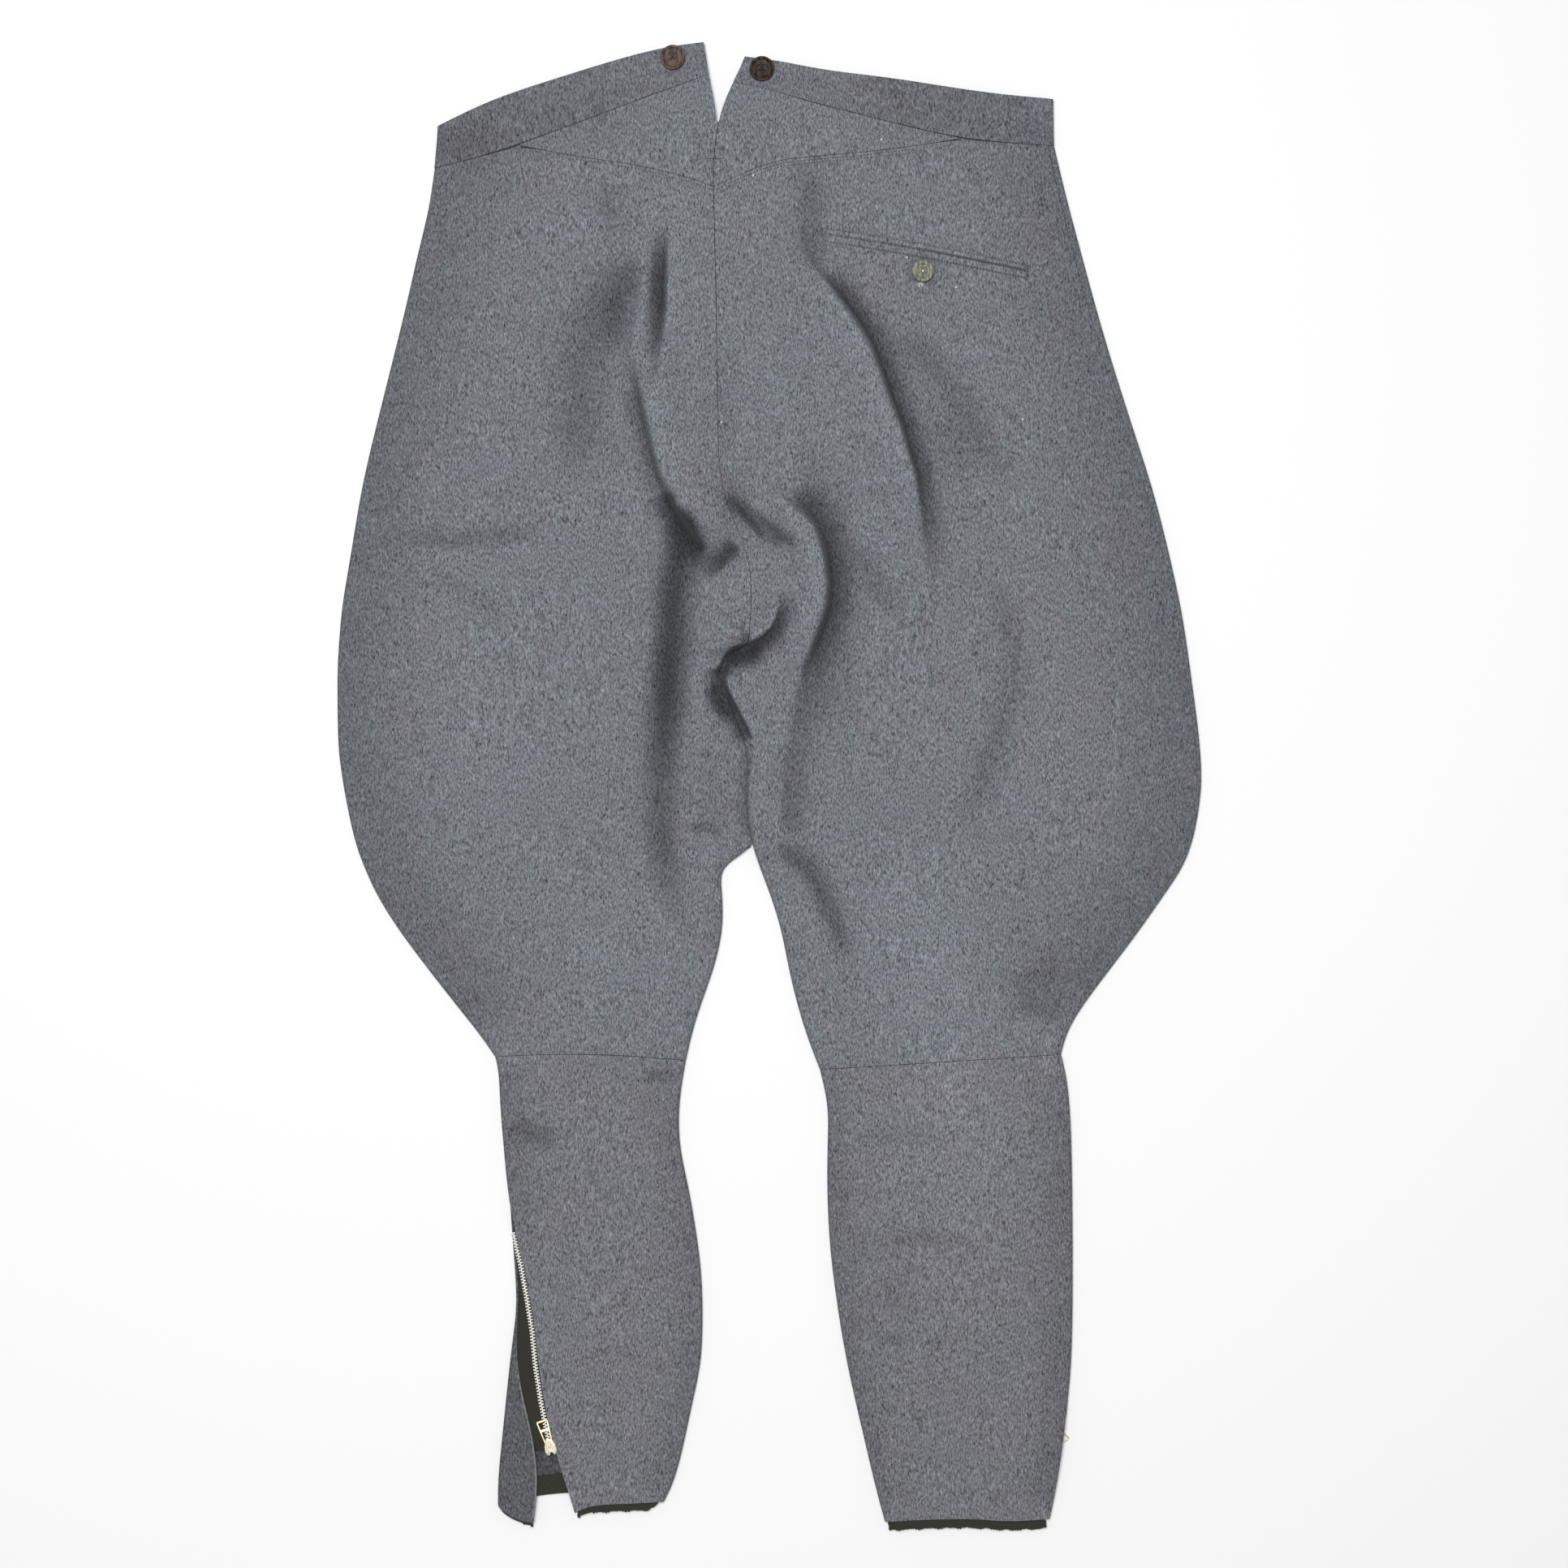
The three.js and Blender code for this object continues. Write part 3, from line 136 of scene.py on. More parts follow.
class Graph:
    """The node tree of one material."""

    def __init__(self, name: str) -> None:
        """Starts an empty tree in a new material.

        Args:
            name: The material's name.
        """
        self.material = bpy.data.materials.new(name)
        self.material.use_nodes = True
        self.tree = self.material.node_tree
        self.tree.nodes.clear()

    def node(self, kind: str, settings: dict[str, Any], inputs: dict[Any, Any], output: Any = 0) -> Channel:
        """Adds a node.

        Args:
            kind: The node's type.
            settings: The node's own properties, which are set first.
            inputs: A value or a Channel for each named or numbered socket.
            output: The socket that is returned.

        Returns:
            The chosen output.
        """
        node = self.tree.nodes.new(kind)
        for name, value in settings.items():
            setattr(node, name, value)
        for key, value in inputs.items():
            socket = node.inputs[key]
            if isinstance(value, Channel):
                self.tree.links.new(value.socket, socket)
            elif socket.type == "RGBA":
                socket.default_value = (*value, 1)
            else:
                socket.default_value = value
        return Channel(self, node.outputs[output])

    def place(self) -> Channel:
        """The point on the object, in metres."""
        return self.node("ShaderNodeTexCoord", {}, {}, "Object")

    def turned(self, place: Channel, angle: float, stretch: float) -> Channel:
        """The place turned about +Z, with its second axis drawn out so that a pattern has a grain."""
        inputs = {"Vector": place, "Rotation": (0, 0, angle), "Scale": (1, 1 / stretch, 1)}
        return self.node("ShaderNodeMapping", {}, inputs)

    def noise(self, place: Channel, size: float, detail: float = 2, roughness: float = 0.5) -> Channel:
        """Even noise round 0.5 whose largest grains are size metres across."""
        inputs = {"Vector": place, "Scale": 1 / size, "Detail": detail, "Roughness": roughness}
        return self.node("ShaderNodeTexNoise", {}, inputs)

    def blend(self, share: Number, first: Any, second: Any) -> Channel:
        """A colour between two others."""
        inputs = {0: share, 6: first, 7: second}
        return self.node("ShaderNodeMix", {"data_type": "RGBA"}, inputs, 2)

    def scaled(self, colour: Any, factor: Channel) -> Channel:
        """A colour made lighter or darker."""
        inputs = {0: colour, "Scale": factor}
        return self.node("ShaderNodeVectorMath", {"operation": "SCALE"}, inputs)

    def bump(self, height: Channel, distance: float, strength: float = 1.0) -> Channel:
        """A normal for a height of 0 to 1 that stands for a distance in metres."""
        inputs = {"Height": height, "Distance": distance, "Strength": strength}
        return self.node("ShaderNodeBump", {}, inputs)

    def finish(self, looks: Looks) -> bpy.types.Material:
        """Ends the tree in a Principled BSDF.

        Args:
            looks: Its inputs.

        Returns:
            The finished material.
        """
        shader = self.node("ShaderNodeBsdfPrincipled", {}, looks)
        end = self.tree.nodes.new("ShaderNodeOutputMaterial")
        self.tree.links.new(shader.socket, end.inputs["Surface"])
        return self.material


@dataclass(frozen=True)
class Finish:
    """A named finish. Each kind of finish has its own looks."""

    name: str

    def looks(self, graph: Graph, place: Channel) -> Looks:
        """The looks at a place on the piece."""
        raise NotImplementedError

    def material(self) -> bpy.types.Material:
        """The material that has these looks."""
        graph = Graph(self.name)
        return graph.finish(self.looks(graph, graph.place()))


@dataclass(frozen=True)
class Wool(Finish):
    """Milled wool cloth: mixed fibres of several greys with a short nap."""

    plum: Colour = srgb(113.5, 113, 120)
    slate: Colour = srgb(110.5, 115, 121)
    contrast: float = 2.35
    patch: float = 45 * MM
    cloud: float = 9 * MM
    fibre: float = 0.95 * MM
    grain: float = 2.6
    # how much the painted shade darkens the colour where it is full
    painted_dimming: float = 0.84
    nap: float = 0.5 * MM

    def looks(self, graph: Graph, place: Channel) -> Looks:
        """Crossed fibres and pale kemps over wide patches of two greys, with painted shade and painted
        light from the cloth's attribute.

        Args:
            graph: The material's tree.
            place: The point on the piece.

        Returns:
            The looks.
        """
        patches = graph.noise(place, self.patch, 3, 0.55).above(0.34, 0.58)
        clouds = graph.noise(place, self.cloud, 3, 0.6)
        one = graph.noise(graph.turned(place, 0.4, self.grain), self.fibre, 2, 0.6)
        other = graph.noise(graph.turned(place, 1.9, self.grain), self.fibre, 2, 0.6)
        crossed = one * 0.5 + other * 0.5
        kemp = one.larger(other).above(0.62, 0.74)
        shade = 1.0 + (crossed - 0.5) * (2 * self.contrast) + kemp * 0.16 + (clouds - 0.5) * 0.35
        # painted shade, and painted light below 0, carried in the cloth's attribute
        hollow = graph.node("ShaderNodeAttribute", {"attribute_name": PAINTED_SHADE_ATTRIBUTE}, {}, "Fac")
        painted_dimming = 1.0 - hollow * self.painted_dimming
        return {
            "Base Color": graph.scaled(graph.blend(patches, self.plum, self.slate), shade * painted_dimming),
            "Roughness": 0.95,
            "Specular IOR Level": 0.25,
            "Sheen Weight": 0.12,
            "Sheen Roughness": 0.5,
            "Normal": graph.bump(crossed + clouds * 0.6, self.nap, 0.55),
        }


@dataclass(frozen=True)
class WovenTape(Finish):
    """Dark twill tape with fine slanting ribs."""

    colour: Colour
    rib: float = 0.9 * MM
    grain: float = 0.5 * MM
    relief: float = 0.25 * MM

    def looks(self, graph: Graph, place: Channel) -> Looks:
        """Slanting ribs with a fine grain.

        Args:
            graph: The material's tree.
            place: The point on the piece.

        Returns:
            The looks.
        """
        inputs = {"Vector": place, "Scale": 0.3 / self.rib, "Distortion": 1.5, "Detail": 1.0}
        ribs = graph.node("ShaderNodeTexWave", {"bands_direction": "DIAGONAL"}, inputs, 1)
        grain = graph.noise(place, self.grain, 2)
        shade = 0.7 + ribs * 0.35 + (grain - 0.5) * 0.9
        return {
            "Base Color": graph.scaled(self.colour, shade),
            "Roughness": 0.85,
            "Specular IOR Level": 0.3,
            "Normal": graph.bump(ribs + grain * 0.5, self.relief, 0.8),
        }


@dataclass(frozen=True)
class WornMetal(Finish):
    """Plated metal, worn bright with duller spots."""

    bright: Colour
    dull: Colour
    roughness: float
    metallic: float
    stain: float = 2.2 * MM
    scratch: float = 0.25 * MM
    relief: float = 0.05 * MM

    def looks(self, graph: Graph, place: Channel) -> Looks:
        """Stains between the bright and the dull colour, with fine scratches.

        Args:
            graph: The material's tree.
            place: The point on the piece.

        Returns:
            The looks.
        """
        stains = graph.noise(place, self.stain, 4, 0.6)
        scratches = graph.noise(graph.turned(place, 0.7, 6), self.scratch, 2)
        return {
            "Base Color": graph.blend(stains.above(0.42, 0.62), self.bright, self.dull),
            "Metallic": self.metallic,
            "Roughness": self.roughness + stains * 0.25,
            "Normal": graph.bump(scratches, self.relief, 0.6),
        }


@dataclass(frozen=True)
class Horn(Finish):
    """Polished horn or plastic for buttons, with soft streaks."""

    light: Colour
    dark: Colour
    roughness: float
    coat: float
    shine: float = 0.3
    streak: float = 1.6 * MM
    wear: float = 0.5 * MM
    relief: float = 0.05 * MM

    def looks(self, graph: Graph, place: Channel) -> Looks:
        """Streaks of two colours under a thin coat that is worn here and there.

        Args:
            graph: The material's tree.
            place: The point on the piece.

        Returns:
            The looks.
        """
        streaks = graph.noise(graph.turned(place, 0.5, 5), self.streak, 3)
        wear = graph.noise(place, self.wear, 2)
        return {
            "Base Color": graph.blend(streaks.above(0.4, 0.62), self.light, self.dark),
            "Roughness": self.roughness + wear * 0.2,
            "Specular IOR Level": self.shine,
            "Coat Weight": self.coat,
            "Coat Roughness": 0.3,
            "Normal": graph.bump(wear, self.relief, 0.5),
        }


@dataclass(frozen=True)
class Thread(Finish):
    """Twisted sewing thread."""

    colour: Colour
    twist: float = 0.3 * MM
    relief: float = 0.1 * MM

    def looks(self, graph: Graph, place: Channel) -> Looks:
        """A slanting twist that is lighter and darker by turns.

        Args:
            graph: The material's tree.
            place: The point on the piece.

        Returns:
            The looks.
        """
        twist = graph.noise(graph.turned(place, 0.8, 3), self.twist, 1)
        return {
            "Base Color": graph.scaled(self.colour, 0.8 + twist * 0.4),
            "Roughness": 0.8,
            "Normal": graph.bump(twist, self.relief, 0.6),
        }


@dataclass(frozen=True)
class Paper(Finish):
    """The even pale surface that the breeches lie on."""

    name: str = "pale_surface"
    colour: Colour = (0.93, 0.93, 0.93)
    grain: float = 2 * MM

    def looks(self, graph: Graph, place: Channel) -> Looks:
        """A faint grain."""
        grain = graph.noise(place, self.grain, 2)
        return {"Base Color": graph.scaled(self.colour, 0.99 + grain * 0.02), "Roughness": 0.9}


WOOL = Wool("wool_cloth")
BAND_WOOL = Wool("band_cloth", srgb(108, 107, 113), srgb(105, 108, 114))
CALF_WOOL = Wool("calf_cloth", srgb(113.5, 112, 118.5), srgb(112, 113, 118.5))
# A darker copy of the wool for the left calf's front panel, flap and lower layer alike; on the lower layer,
# below the slider, it is painted shade.
FLAP_WOOL = Wool("flap_cloth", srgb(93, 92, 97), srgb(90, 91, 95))
HEM_TAPE = WovenTape("hem_tape_weave", srgb(52, 54, 44))
ZIP_TAPE = WovenTape("zip_tape_weave", srgb(54, 53, 47), 0.6 * MM)
SILVER = WornMetal("teeth_metal", srgb(248, 247, 240), srgb(228, 225, 214), 0.4, 0.05)
SLIDER_METAL = WornMetal("slider_metal", srgb(242, 238, 218), srgb(212, 205, 182), 0.35, 0.35)
BRASS = WornMetal("slider_brass", srgb(240, 228, 184), srgb(198, 184, 136), 0.32, 0.6)
BROWN_HORN = Horn("brown_horn", srgb(96, 79, 71), srgb(56, 44, 39), 0.5, 0.04, 0.2)
DARK_HORN = Horn("dark_horn", srgb(66, 52, 40), srgb(14, 11, 10), 0.45, 0.05, 0.12)
POCKET_HORN = Horn("pocket_button_plastic", srgb(140, 141, 124), srgb(96, 97, 82), 0.55, 0.05)
SEAM_THREAD = Thread("seam_thread", srgb(58, 60, 66))
DARK_THREAD = Thread("dark_thread", srgb(30, 26, 25))
PALE_THREAD = Thread("pale_thread", srgb(208, 206, 196))
EDGE_WOOL = Thread("flap_edge_wool", srgb(126, 125, 124))


# ---------------------------------------------------------------------------------------------
# Shared modelling helpers
# ---------------------------------------------------------------------------------------------


def deselect() -> None:
    """Leaves object mode with nothing selected."""
    if bpy.context.object and bpy.context.object.mode != "OBJECT":
        bpy.ops.object.mode_set(mode="OBJECT")
    bpy.ops.object.select_all(action="DESELECT")


def choose(piece: bpy.types.Object) -> None:
    """Makes a piece the only selected one, and the active one."""
    deselect()
    piece.select_set(True)
    bpy.context.view_layer.objects.active = piece


def apply_modifiers(piece: bpy.types.Object) -> None:
    """Applies each of a piece's modifiers in turn."""
    choose(piece)
    for modifier in list(piece.modifiers):
        bpy.ops.object.modifier_apply(modifier=modifier.name)


def soften(piece: bpy.types.Object, degrees: float) -> None:
    """Shades smooth across the edges that turn less than an angle."""
    choose(piece)
    bpy.ops.object.shade_smooth_by_angle(angle=math.radians(degrees))


def new_piece(name: str, mesh: bpy.types.Mesh) -> bpy.types.Object:
    """Links a mesh to the scene as a new object."""
    piece = bpy.data.objects.new(name, mesh)
    bpy.context.scene.collection.objects.link(piece)
    return piece


def dress(piece: bpy.types.Object, finish: bpy.types.Material, body: str = ROOT) -> None:
    """Gives a piece its finish and lets it ride on a body.

    Args:
        piece: The piece.
        finish: Its material.
        body: The body that it moves with.
    """
    piece.data.materials.clear()
    piece.data.materials.append(finish)
    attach(piece, body)


def copy_of(node: str, name: str) -> bpy.types.Object:
    """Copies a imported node's mesh, with its corners merged and its triangles paired.

    Args:
        node: The node's name.
        name: The new piece's name.

    Returns:
        The new piece.
    """
    mesh = bpy.data.meshes.new(name)
    shape = bmesh.new()
    shape.from_mesh(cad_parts[node].data)
    bmesh.ops.remove_doubles(shape, verts=shape.verts, dist=MERGED)
    bmesh.ops.join_triangles(
        shape,
        faces=shape.faces,
        angle_face_threshold=math.radians(35),
        angle_shape_threshold=math.radians(60),
    )
    shape.to_mesh(mesh)
    shape.free()
    for layer in ("custom_normal", "sharp_face", "sharp_edge"):
        if layer in mesh.attributes:
            mesh.attributes.remove(mesh.attributes[layer])
    return new_piece(name, mesh)


def points_of(mesh: bpy.types.Mesh) -> np.ndarray:
    """A mesh's corners, one row each."""
    flat = np.zeros(len(mesh.vertices) * 3)
    mesh.vertices.foreach_get("co", flat)
    return flat.reshape(-1, 3)


def set_points(mesh: bpy.types.Mesh, points: np.ndarray) -> None:
    """Moves a mesh's corners."""
    mesh.vertices.foreach_set("co", points.ravel())
    mesh.update()


def lean_of(points: np.ndarray) -> tuple[Vector, Vector]:
    """Finds how a flat part lies.

    Args:
        points: Its corners, one row each.

    Returns:
        Its middle, and the direction in which it is thinnest, upwards.
    """
    middle = (points.min(0) + points.max(0)) / 2
    spread = np.linalg.svd(points - points.mean(0))[2]
    normal = Vector(spread[2])
    return Vector(middle), normal if normal.z > 0 else -normal


def seat_on(point: Vector, normal: Vector, heading: Vector) -> Matrix:
    """Finds the place of a small part on a surface.

    Args:
        point: Where its origin comes.
        normal: Where its +Z points.
        heading: Where its +Y points, as near as can be.

    Returns:
        The place.
    """
    across = heading.cross(normal).normalized()
    along = normal.cross(across)
    turn = Matrix((across, along, normal)).transposed().to_4x4()
    return Matrix.Translation(point) @ turn


def repeated(name: str, shape: bpy.types.Mesh, places: Sequence[Matrix]) -> bpy.types.Object:
    """Makes one piece that holds a copy of a small shape at each place.

    Args:
        name: The piece's name.
        shape: The small shape.
        places: Where its copies come.

    Returns:
        The piece.
    """
    corners = points_of(shape)
    faces = [list(face.vertices) for face in shape.polygons]
    turns = [np.array(place) for place in places]
    every = [corners @ turn[:3, :3].T + turn[:3, 3] for turn in turns]
    count = len(corners)
    links = [[v + i * count for v in face] for i in range(len(places)) for face in faces]
    mesh = bpy.data.meshes.new(name)
    mesh.from_pydata(np.concatenate(every).tolist(), [], links)
    mesh.update()
    return new_piece(name, mesh)


def bead(width: float, length: float, height: float) -> bpy.types.Mesh:
    """Makes a small rounded shape.

    Args:
        width: Its size along X, in millimetres.
        length: Its size along Y.
        height: Its size along Z.

    Returns:
        The shape.
    """
    deselect()
    bpy.ops.mesh.primitive_ico_sphere_add(subdivisions=1, radius=0.5 * MM)
    one = bpy.context.object
    mesh = one.data.copy()
    mesh.transform(Matrix.Diagonal((width, length, height, 1)))
    bpy.data.objects.remove(one)
    return mesh


def round_edges(piece: bpy.types.Object, width: float, degrees: float, segments: int = 2) -> None:
    """Bevels the sharp edges of a piece, and applies all its modifiers.

    Args:
        piece: The piece.
        width: The bevel's width in millimetres.
        degrees: An edge that turns more than this is sharp.
        segments: How many steps the bevel has.
    """
    worn = piece.modifiers.new("Worn edges", "BEVEL")
    worn.width = width * MM
    worn.segments = segments
    worn.limit_method = "ANGLE"
    worn.angle_limit = math.radians(degrees)
    apply_modifiers(piece)


def measure(points: np.ndarray, path: Path) -> tuple[np.ndarray, np.ndarray]:
    """How points lie to a path, all in millimetres and seen from above.

    Args:
        points: Rows of x and y.
        path: The corners of the line.

    Returns:
        The distance to the line, above 0 on its left, and the share of its length there.
    """
    line = np.array(path, float)
    legs = line[1:] - line[:-1]
    lengths = np.hypot(legs[:, 0], legs[:, 1])
    before = np.concatenate([[0], np.cumsum(lengths)])
    best = np.full(len(points), 1e9)
    share = np.zeros(len(points))
    for start, leg, length, done in zip(line, legs, lengths, before):
        away = points - start
        t = np.clip(away @ leg / length**2, 0, 1)
        gap = away - t[:, None] * leg
        distance = np.hypot(gap[:, 0], gap[:, 1])
        side = np.sign(leg[0] * away[:, 1] - leg[1] * away[:, 0])
        nearer = distance < np.abs(best)
        best[nearer] = (distance * np.where(side == 0, 1, side))[nearer]
        share[nearer] = ((done + t * length) / before[-1])[nearer]
    return best, share


def eased(value: np.ndarray, low: float, high: float) -> np.ndarray:
    """Smooth step from 0 at low to 1 at high."""
    t = np.clip((value - low) / (high - low), 0, 1)
    return t * t * (3 - 2 * t)


def spread_along(path: Path, pitch: float) -> list[tuple[float, float, Vector]]:
    """Spreads stations evenly on a line.

    Args:
        path: The corners of the line, in millimetres.
        pitch: About how far apart the stations are.

    Returns:
        The x, the y and the heading of each station.
    """
    line = [Vector((*p, 0)) for p in path]
    total = sum((b - a).length for a, b in zip(line, line[1:]))
    count = max(1, round(total / pitch))
    stations = []
    for k in range(count):
        left = total * (k + 0.5) / count
        for a, b in zip(line, line[1:]):
            length = (b - a).length
            if left <= length:
                point = a.lerp(b, left / length)
                stations.append((point.x, point.y, (b - a).normalized()))
                break
            left -= length
    return stations


# ---------------------------------------------------------------------------------------------
# Cloth
# ---------------------------------------------------------------------------------------------


LAYER_TOP = 4.0  # height in millimetres of the upper layer's underside where the cloth lies flat


@dataclass(frozen=True)
class Fold:
    """A ridge in the cloth, or a valley where height is below 0, in millimetres.

    left and right are how wide it is on each side of its path, so a small width gives a crisp
    edge. It swells over the first share of its length and fades over the last. A valley's depth,
    times its darkness number, is painted shade in the cloth's colour.
    """

    path: Path
    height: float
    left: float
    right: float
    enter: float = 0.3
    leave: float = 0.3
    # how strongly the valley's depth is painted as shade in the cloth's colour
    painted_darkness: float = 1.0

    def lift(self, points: np.ndarray) -> np.ndarray:
        """Works out the height that the fold adds.

        Args:
            points: Rows of x and y.

        Returns:
            The height at each of them.
        """
        distance, share = measure(points, self.path)
        width = np.where(distance > 0, self.left, self.right)
        swell = eased(share, 0, self.enter) * eased(1 - share, 0, self.leave)
        return self.height * swell * np.exp(-((distance / width) ** 2))


# Crisp edges and deep valleys round the seat and the crotch, which need a finer mesh.
CRISP_FOLDS = (
    # the seat's right edge, and the valley beside it
    Fold(
        (
            (21, 385), (24, 370), (31, 355), (38.6, 347), (49.3, 333), (60, 318), (67.5, 305), (73, 290),
            (81.5, 268), (90, 247), (94.5, 229), (99.5, 214), (103, 190), (106, 160),
        ),
        4.0, 2.8, 14, 0.2, 0.4,
    ),
    Fold(
        (
            (35, 362), (39, 352.5), (45, 346), (54, 334), (64.5, 319), (72.5, 306), (78.5, 291),
            (86, 269), (94, 248), (99, 231), (104, 215), (108, 190), (111, 160), (112, 125),
        ),
        -5.0, 9, 3.2, 0.12, 0.4, 2.2,
    ),
    Fold(((27, 436), (29, 410), (28, 385), (31, 366), (40, 352)), -2.2, 8, 9, 0.25, 0.2, 1.6),
    # the roll on the right of the crotch, and the valley beside it
    Fold(
        (
            (4, 212), (8, 198), (20, 188), (29, 178), (34.5, 165), (37, 152), (38.5, 139), (37.5, 126),
            (34, 113), (30.5, 103), (25.5, 90), (21, 77),
        ),
        4.2, 3.0, 14, 0.15, 0.3,
    ),
    Fold(
        (
            (14, 207), (26, 195), (36, 182), (41.5, 166), (43.5, 152), (45, 139), (43.5, 124), (39, 110),
            (34, 97), (28, 82), (24, 65), (20, 40),
        ),
        -6.0, 12, 4, 0.1, 0.4, 2.0,
    ),
    Fold(((24, 82), (21, 52), (15, 20), (13, -10), (13, -38)), -2.4, 12, 4, 0.3, 0.15, 1.7),
    Fold(((44, 112), (48, 85), (38, 50), (26, 20)), -1.4, 16, 14, 0.3, 0.4, 1.3),
    # the seat's left edge, the valley beside it and its pit
    Fold(
        (
            (-92, 300), (-90, 280), (-86, 262), (-79, 235), (-75, 216), (-67, 198.5), (-57, 182),
            (-48, 170), (-40, 164),
        ),
        4.2, 13, 3.0, 0.3, 0.12,
    ),
    Fold(((-97, 300), (-92, 268), (-86, 240), (-80, 217), (-72, 198)), -3.0, 3, 7, 0.35, 0.1, 1.6),
    Fold(((-73, 205), (-68, 191), (-59, 177), (-50, 166), (-44, 158)), -6.0, 4, 9, 0.15, 0.2, 2.4),
    Fold(
        ((-60, 196), (-61, 170), (-65, 148), (-68, 122), (-69, 97), (-72, 65), (-74, 30), (-75, -5)),
        -9.0, 10, 8, 0.1, 0.5, 1.7,
    ),
    Fold(
        ((-70, 120), (-72, 60), (-74, 30), (-75, 0), (-75, -30), (-72, -60), (-64, -85), (-54, -108)),
        -5.0, 10, 9, 0.3, 0.35, 1.3,
    ),
    # the short crease above it
    Fold(((-68, 405), (-69, 375), (-70, 345), (-70, 322), (-72, 298)), 3.6, 14, 2.6, 0.35, 0.35),
    Fold(((-75, 388), (-75.5, 360), (-76, 335), (-78, 305), (-80, 275)), -6.0, 3, 5, 0.3, 0.6, 2.4),
    Fold(((-85, 368), (-87, 345), (-91, 325), (-94, 300), (-92, 280)), 2.4, 6, 3.5),
    Fold(((-92, 372), (-97, 352), (-103, 335), (-107, 312), (-106, 290)), -3.0, 5, 12, 0.25, 0.4, 1.8),
    # across the puff, its inner fold, and the dimple under the left edge
    Fold(((-32, 203), (-20, 193), (-5, 180), (8, 172), (23, 166)), -4.0, 3.6, 5.5, 0.15, 0.3, 1.9),
    Fold(((-48, 137), (-43, 144), (-35, 151), (-27, 158), (-20, 165)), -4.0, 8, 2.2, 0.6, 0.12, 2.4),
    Fold(((-58, 160), (-47, 156), (-36, 150)), -2.0, 7, 9, 0.3, 0.4, 1.6),
    # the mouth of the fold at the crotch, and the dip under it, dark mostly from painted shade
    Fold(
        (
            (-36, 74), (-33.5, 82), (-29.5, 90), (-24, 95), (-14, 97.5), (-6, 101), (2, 108), (6, 116),
            (8, 126), (7, 138),
        ),
        -3.5, 1.6, 7, 0.1, 0.35, 5.0,
    ),
    Fold(((-30, 85), (-23, 89), (-13, 91), (-4, 97)), -3.5, 4, 7, 0.25, 0.35, 4.0),
    Fold(((-35, 84), (-31, 68), (-25, 56), (-18, 43), (-12, 30)), -3.0, 1.6, 7.5, 0.08, 0.15, 5.0),
    Fold(((-12, 36), (-15, 20), (-17, 0), (-16, -20), (-14, -39)), -1.2, 2.4, 4.5, 0.15, 0.15, 2.2),
    Fold(((-37, 74), (-37, 62), (-31, 53), (-24, 47)), -3.0, 4, 5, 0.25, 0.25, 4.0),
    # the slanting valley under the crotch
    Fold(
        ((0, -48), (12, -47), (26, -57), (35, -74), (43, -92), (50, -112), (55, -132)),
        -3.2, 8, 5, 0.15, 0.4, 2.0,
    ),
    Fold(((-58, -31), (-44, -27), (-30, -33)), -1.6, 3, 3, 0.3, 0.3, 2.4),
)
# Shallow folds and dents, whose valleys are darkened with painted shade.
SOFT_FOLDS = (
    Fold(
        ((-100, 368), (-112, 340), (-126, 312), (-132, 275), (-132, 235), (-128, 200)),
        -3.0, 17, 17, 0.2, 0.3, 1.2,
    ),
    Fold(((-112, 425), (-110, 395), (-112, 372)), -1.5, 8, 8, 0.4, 0.4, 1.6),
    Fold(((76, 318), (105, 300), (130, 270), (150, 235), (172, 200)), -2.0, 9, 12, 0.2, 0.4, 1.6),
    Fold(((112, 262), (128, 232), (142, 200)), -1.6, 12, 12, 0.3, 0.4, 1.2),
    Fold(((60, 170), (75, 135), (98, 118)), -1.8, 7, 7, 0.3, 0.3, 1.6),
    Fold(
        ((140, 165), (160, 130), (171, 92), (163, 50), (150, 15), (140, -20), (136, -52)),
        -1.8, 7, 8, 0.3, 0.3, 1.6,
    ),
    Fold(((-272, 172), (-215, 170), (-180, 175), (-142, 172)), -1.6, 5, 6, 0.3, 0.3, 1.8),
    Fold(((-240, 152), (-205, 132), (-172, 106)), -1.2, 6, 6, 0.3, 0.3, 1.6),
    Fold(((-183, -233), (-165, -239), (-144, -246)), -1.8, 6, 7, 0.3, 0.3, 2.6),
    Fold(((-89, -198), (-76, -200), (-64, -196)), -1.4, 6, 6, 0.3, 0.2, 2.6),
    Fold(((61, -243), (98, -240), (136, -245)), -0.9, 6, 6, 0.3, 0.3, 1.4),
    Fold(((66, -314), (105, -310), (146, -315)), -1.3, 5, 6, 0.3, 0.3, 1.8),
    Fold(((78, -338), (84, -352), (94, -360)), -1.3, 5, 6, 0.3, 0.3, 1.6),
    Fold(((76, -374), (85, -381), (95, -384)), -1.3, 5, 6, 0.3, 0.3, 1.6),
    Fold(((160, -144), (182, -134), (206, -118)), -1.3, 9, 9, 0.3, 0.3, 1.6),
    Fold(((163, -150), (184, -152), (204, -158)), -1.0, 8, 8, 0.3, 0.2, 2.2),
    Fold(((-10, 190), (-28, 208), (-36, 225)), -1.0, 10, 9, 0.2, 0.4, 1.6),
    Fold(((22, 205), (30, 222), (34, 238)), -1.0, 12, 9, 0.3, 0.4, 1.4),
    Fold(((-34, 300), (-28, 260), (-22, 230)), -0.8, 7, 7, 0.3, 0.3, 1.2),
    # a dent under the pocket's button, with painted shadow round it
    Fold(((93, 358), (119, 353.4)), -1.4, 8.5, 8.5, 0.35, 0.35, 3.5),
    Fold(((-45, 35), (-45, 0), (-42, -35)), -0.8, 18, 14, 0.3, 0.2, 1.4),
)
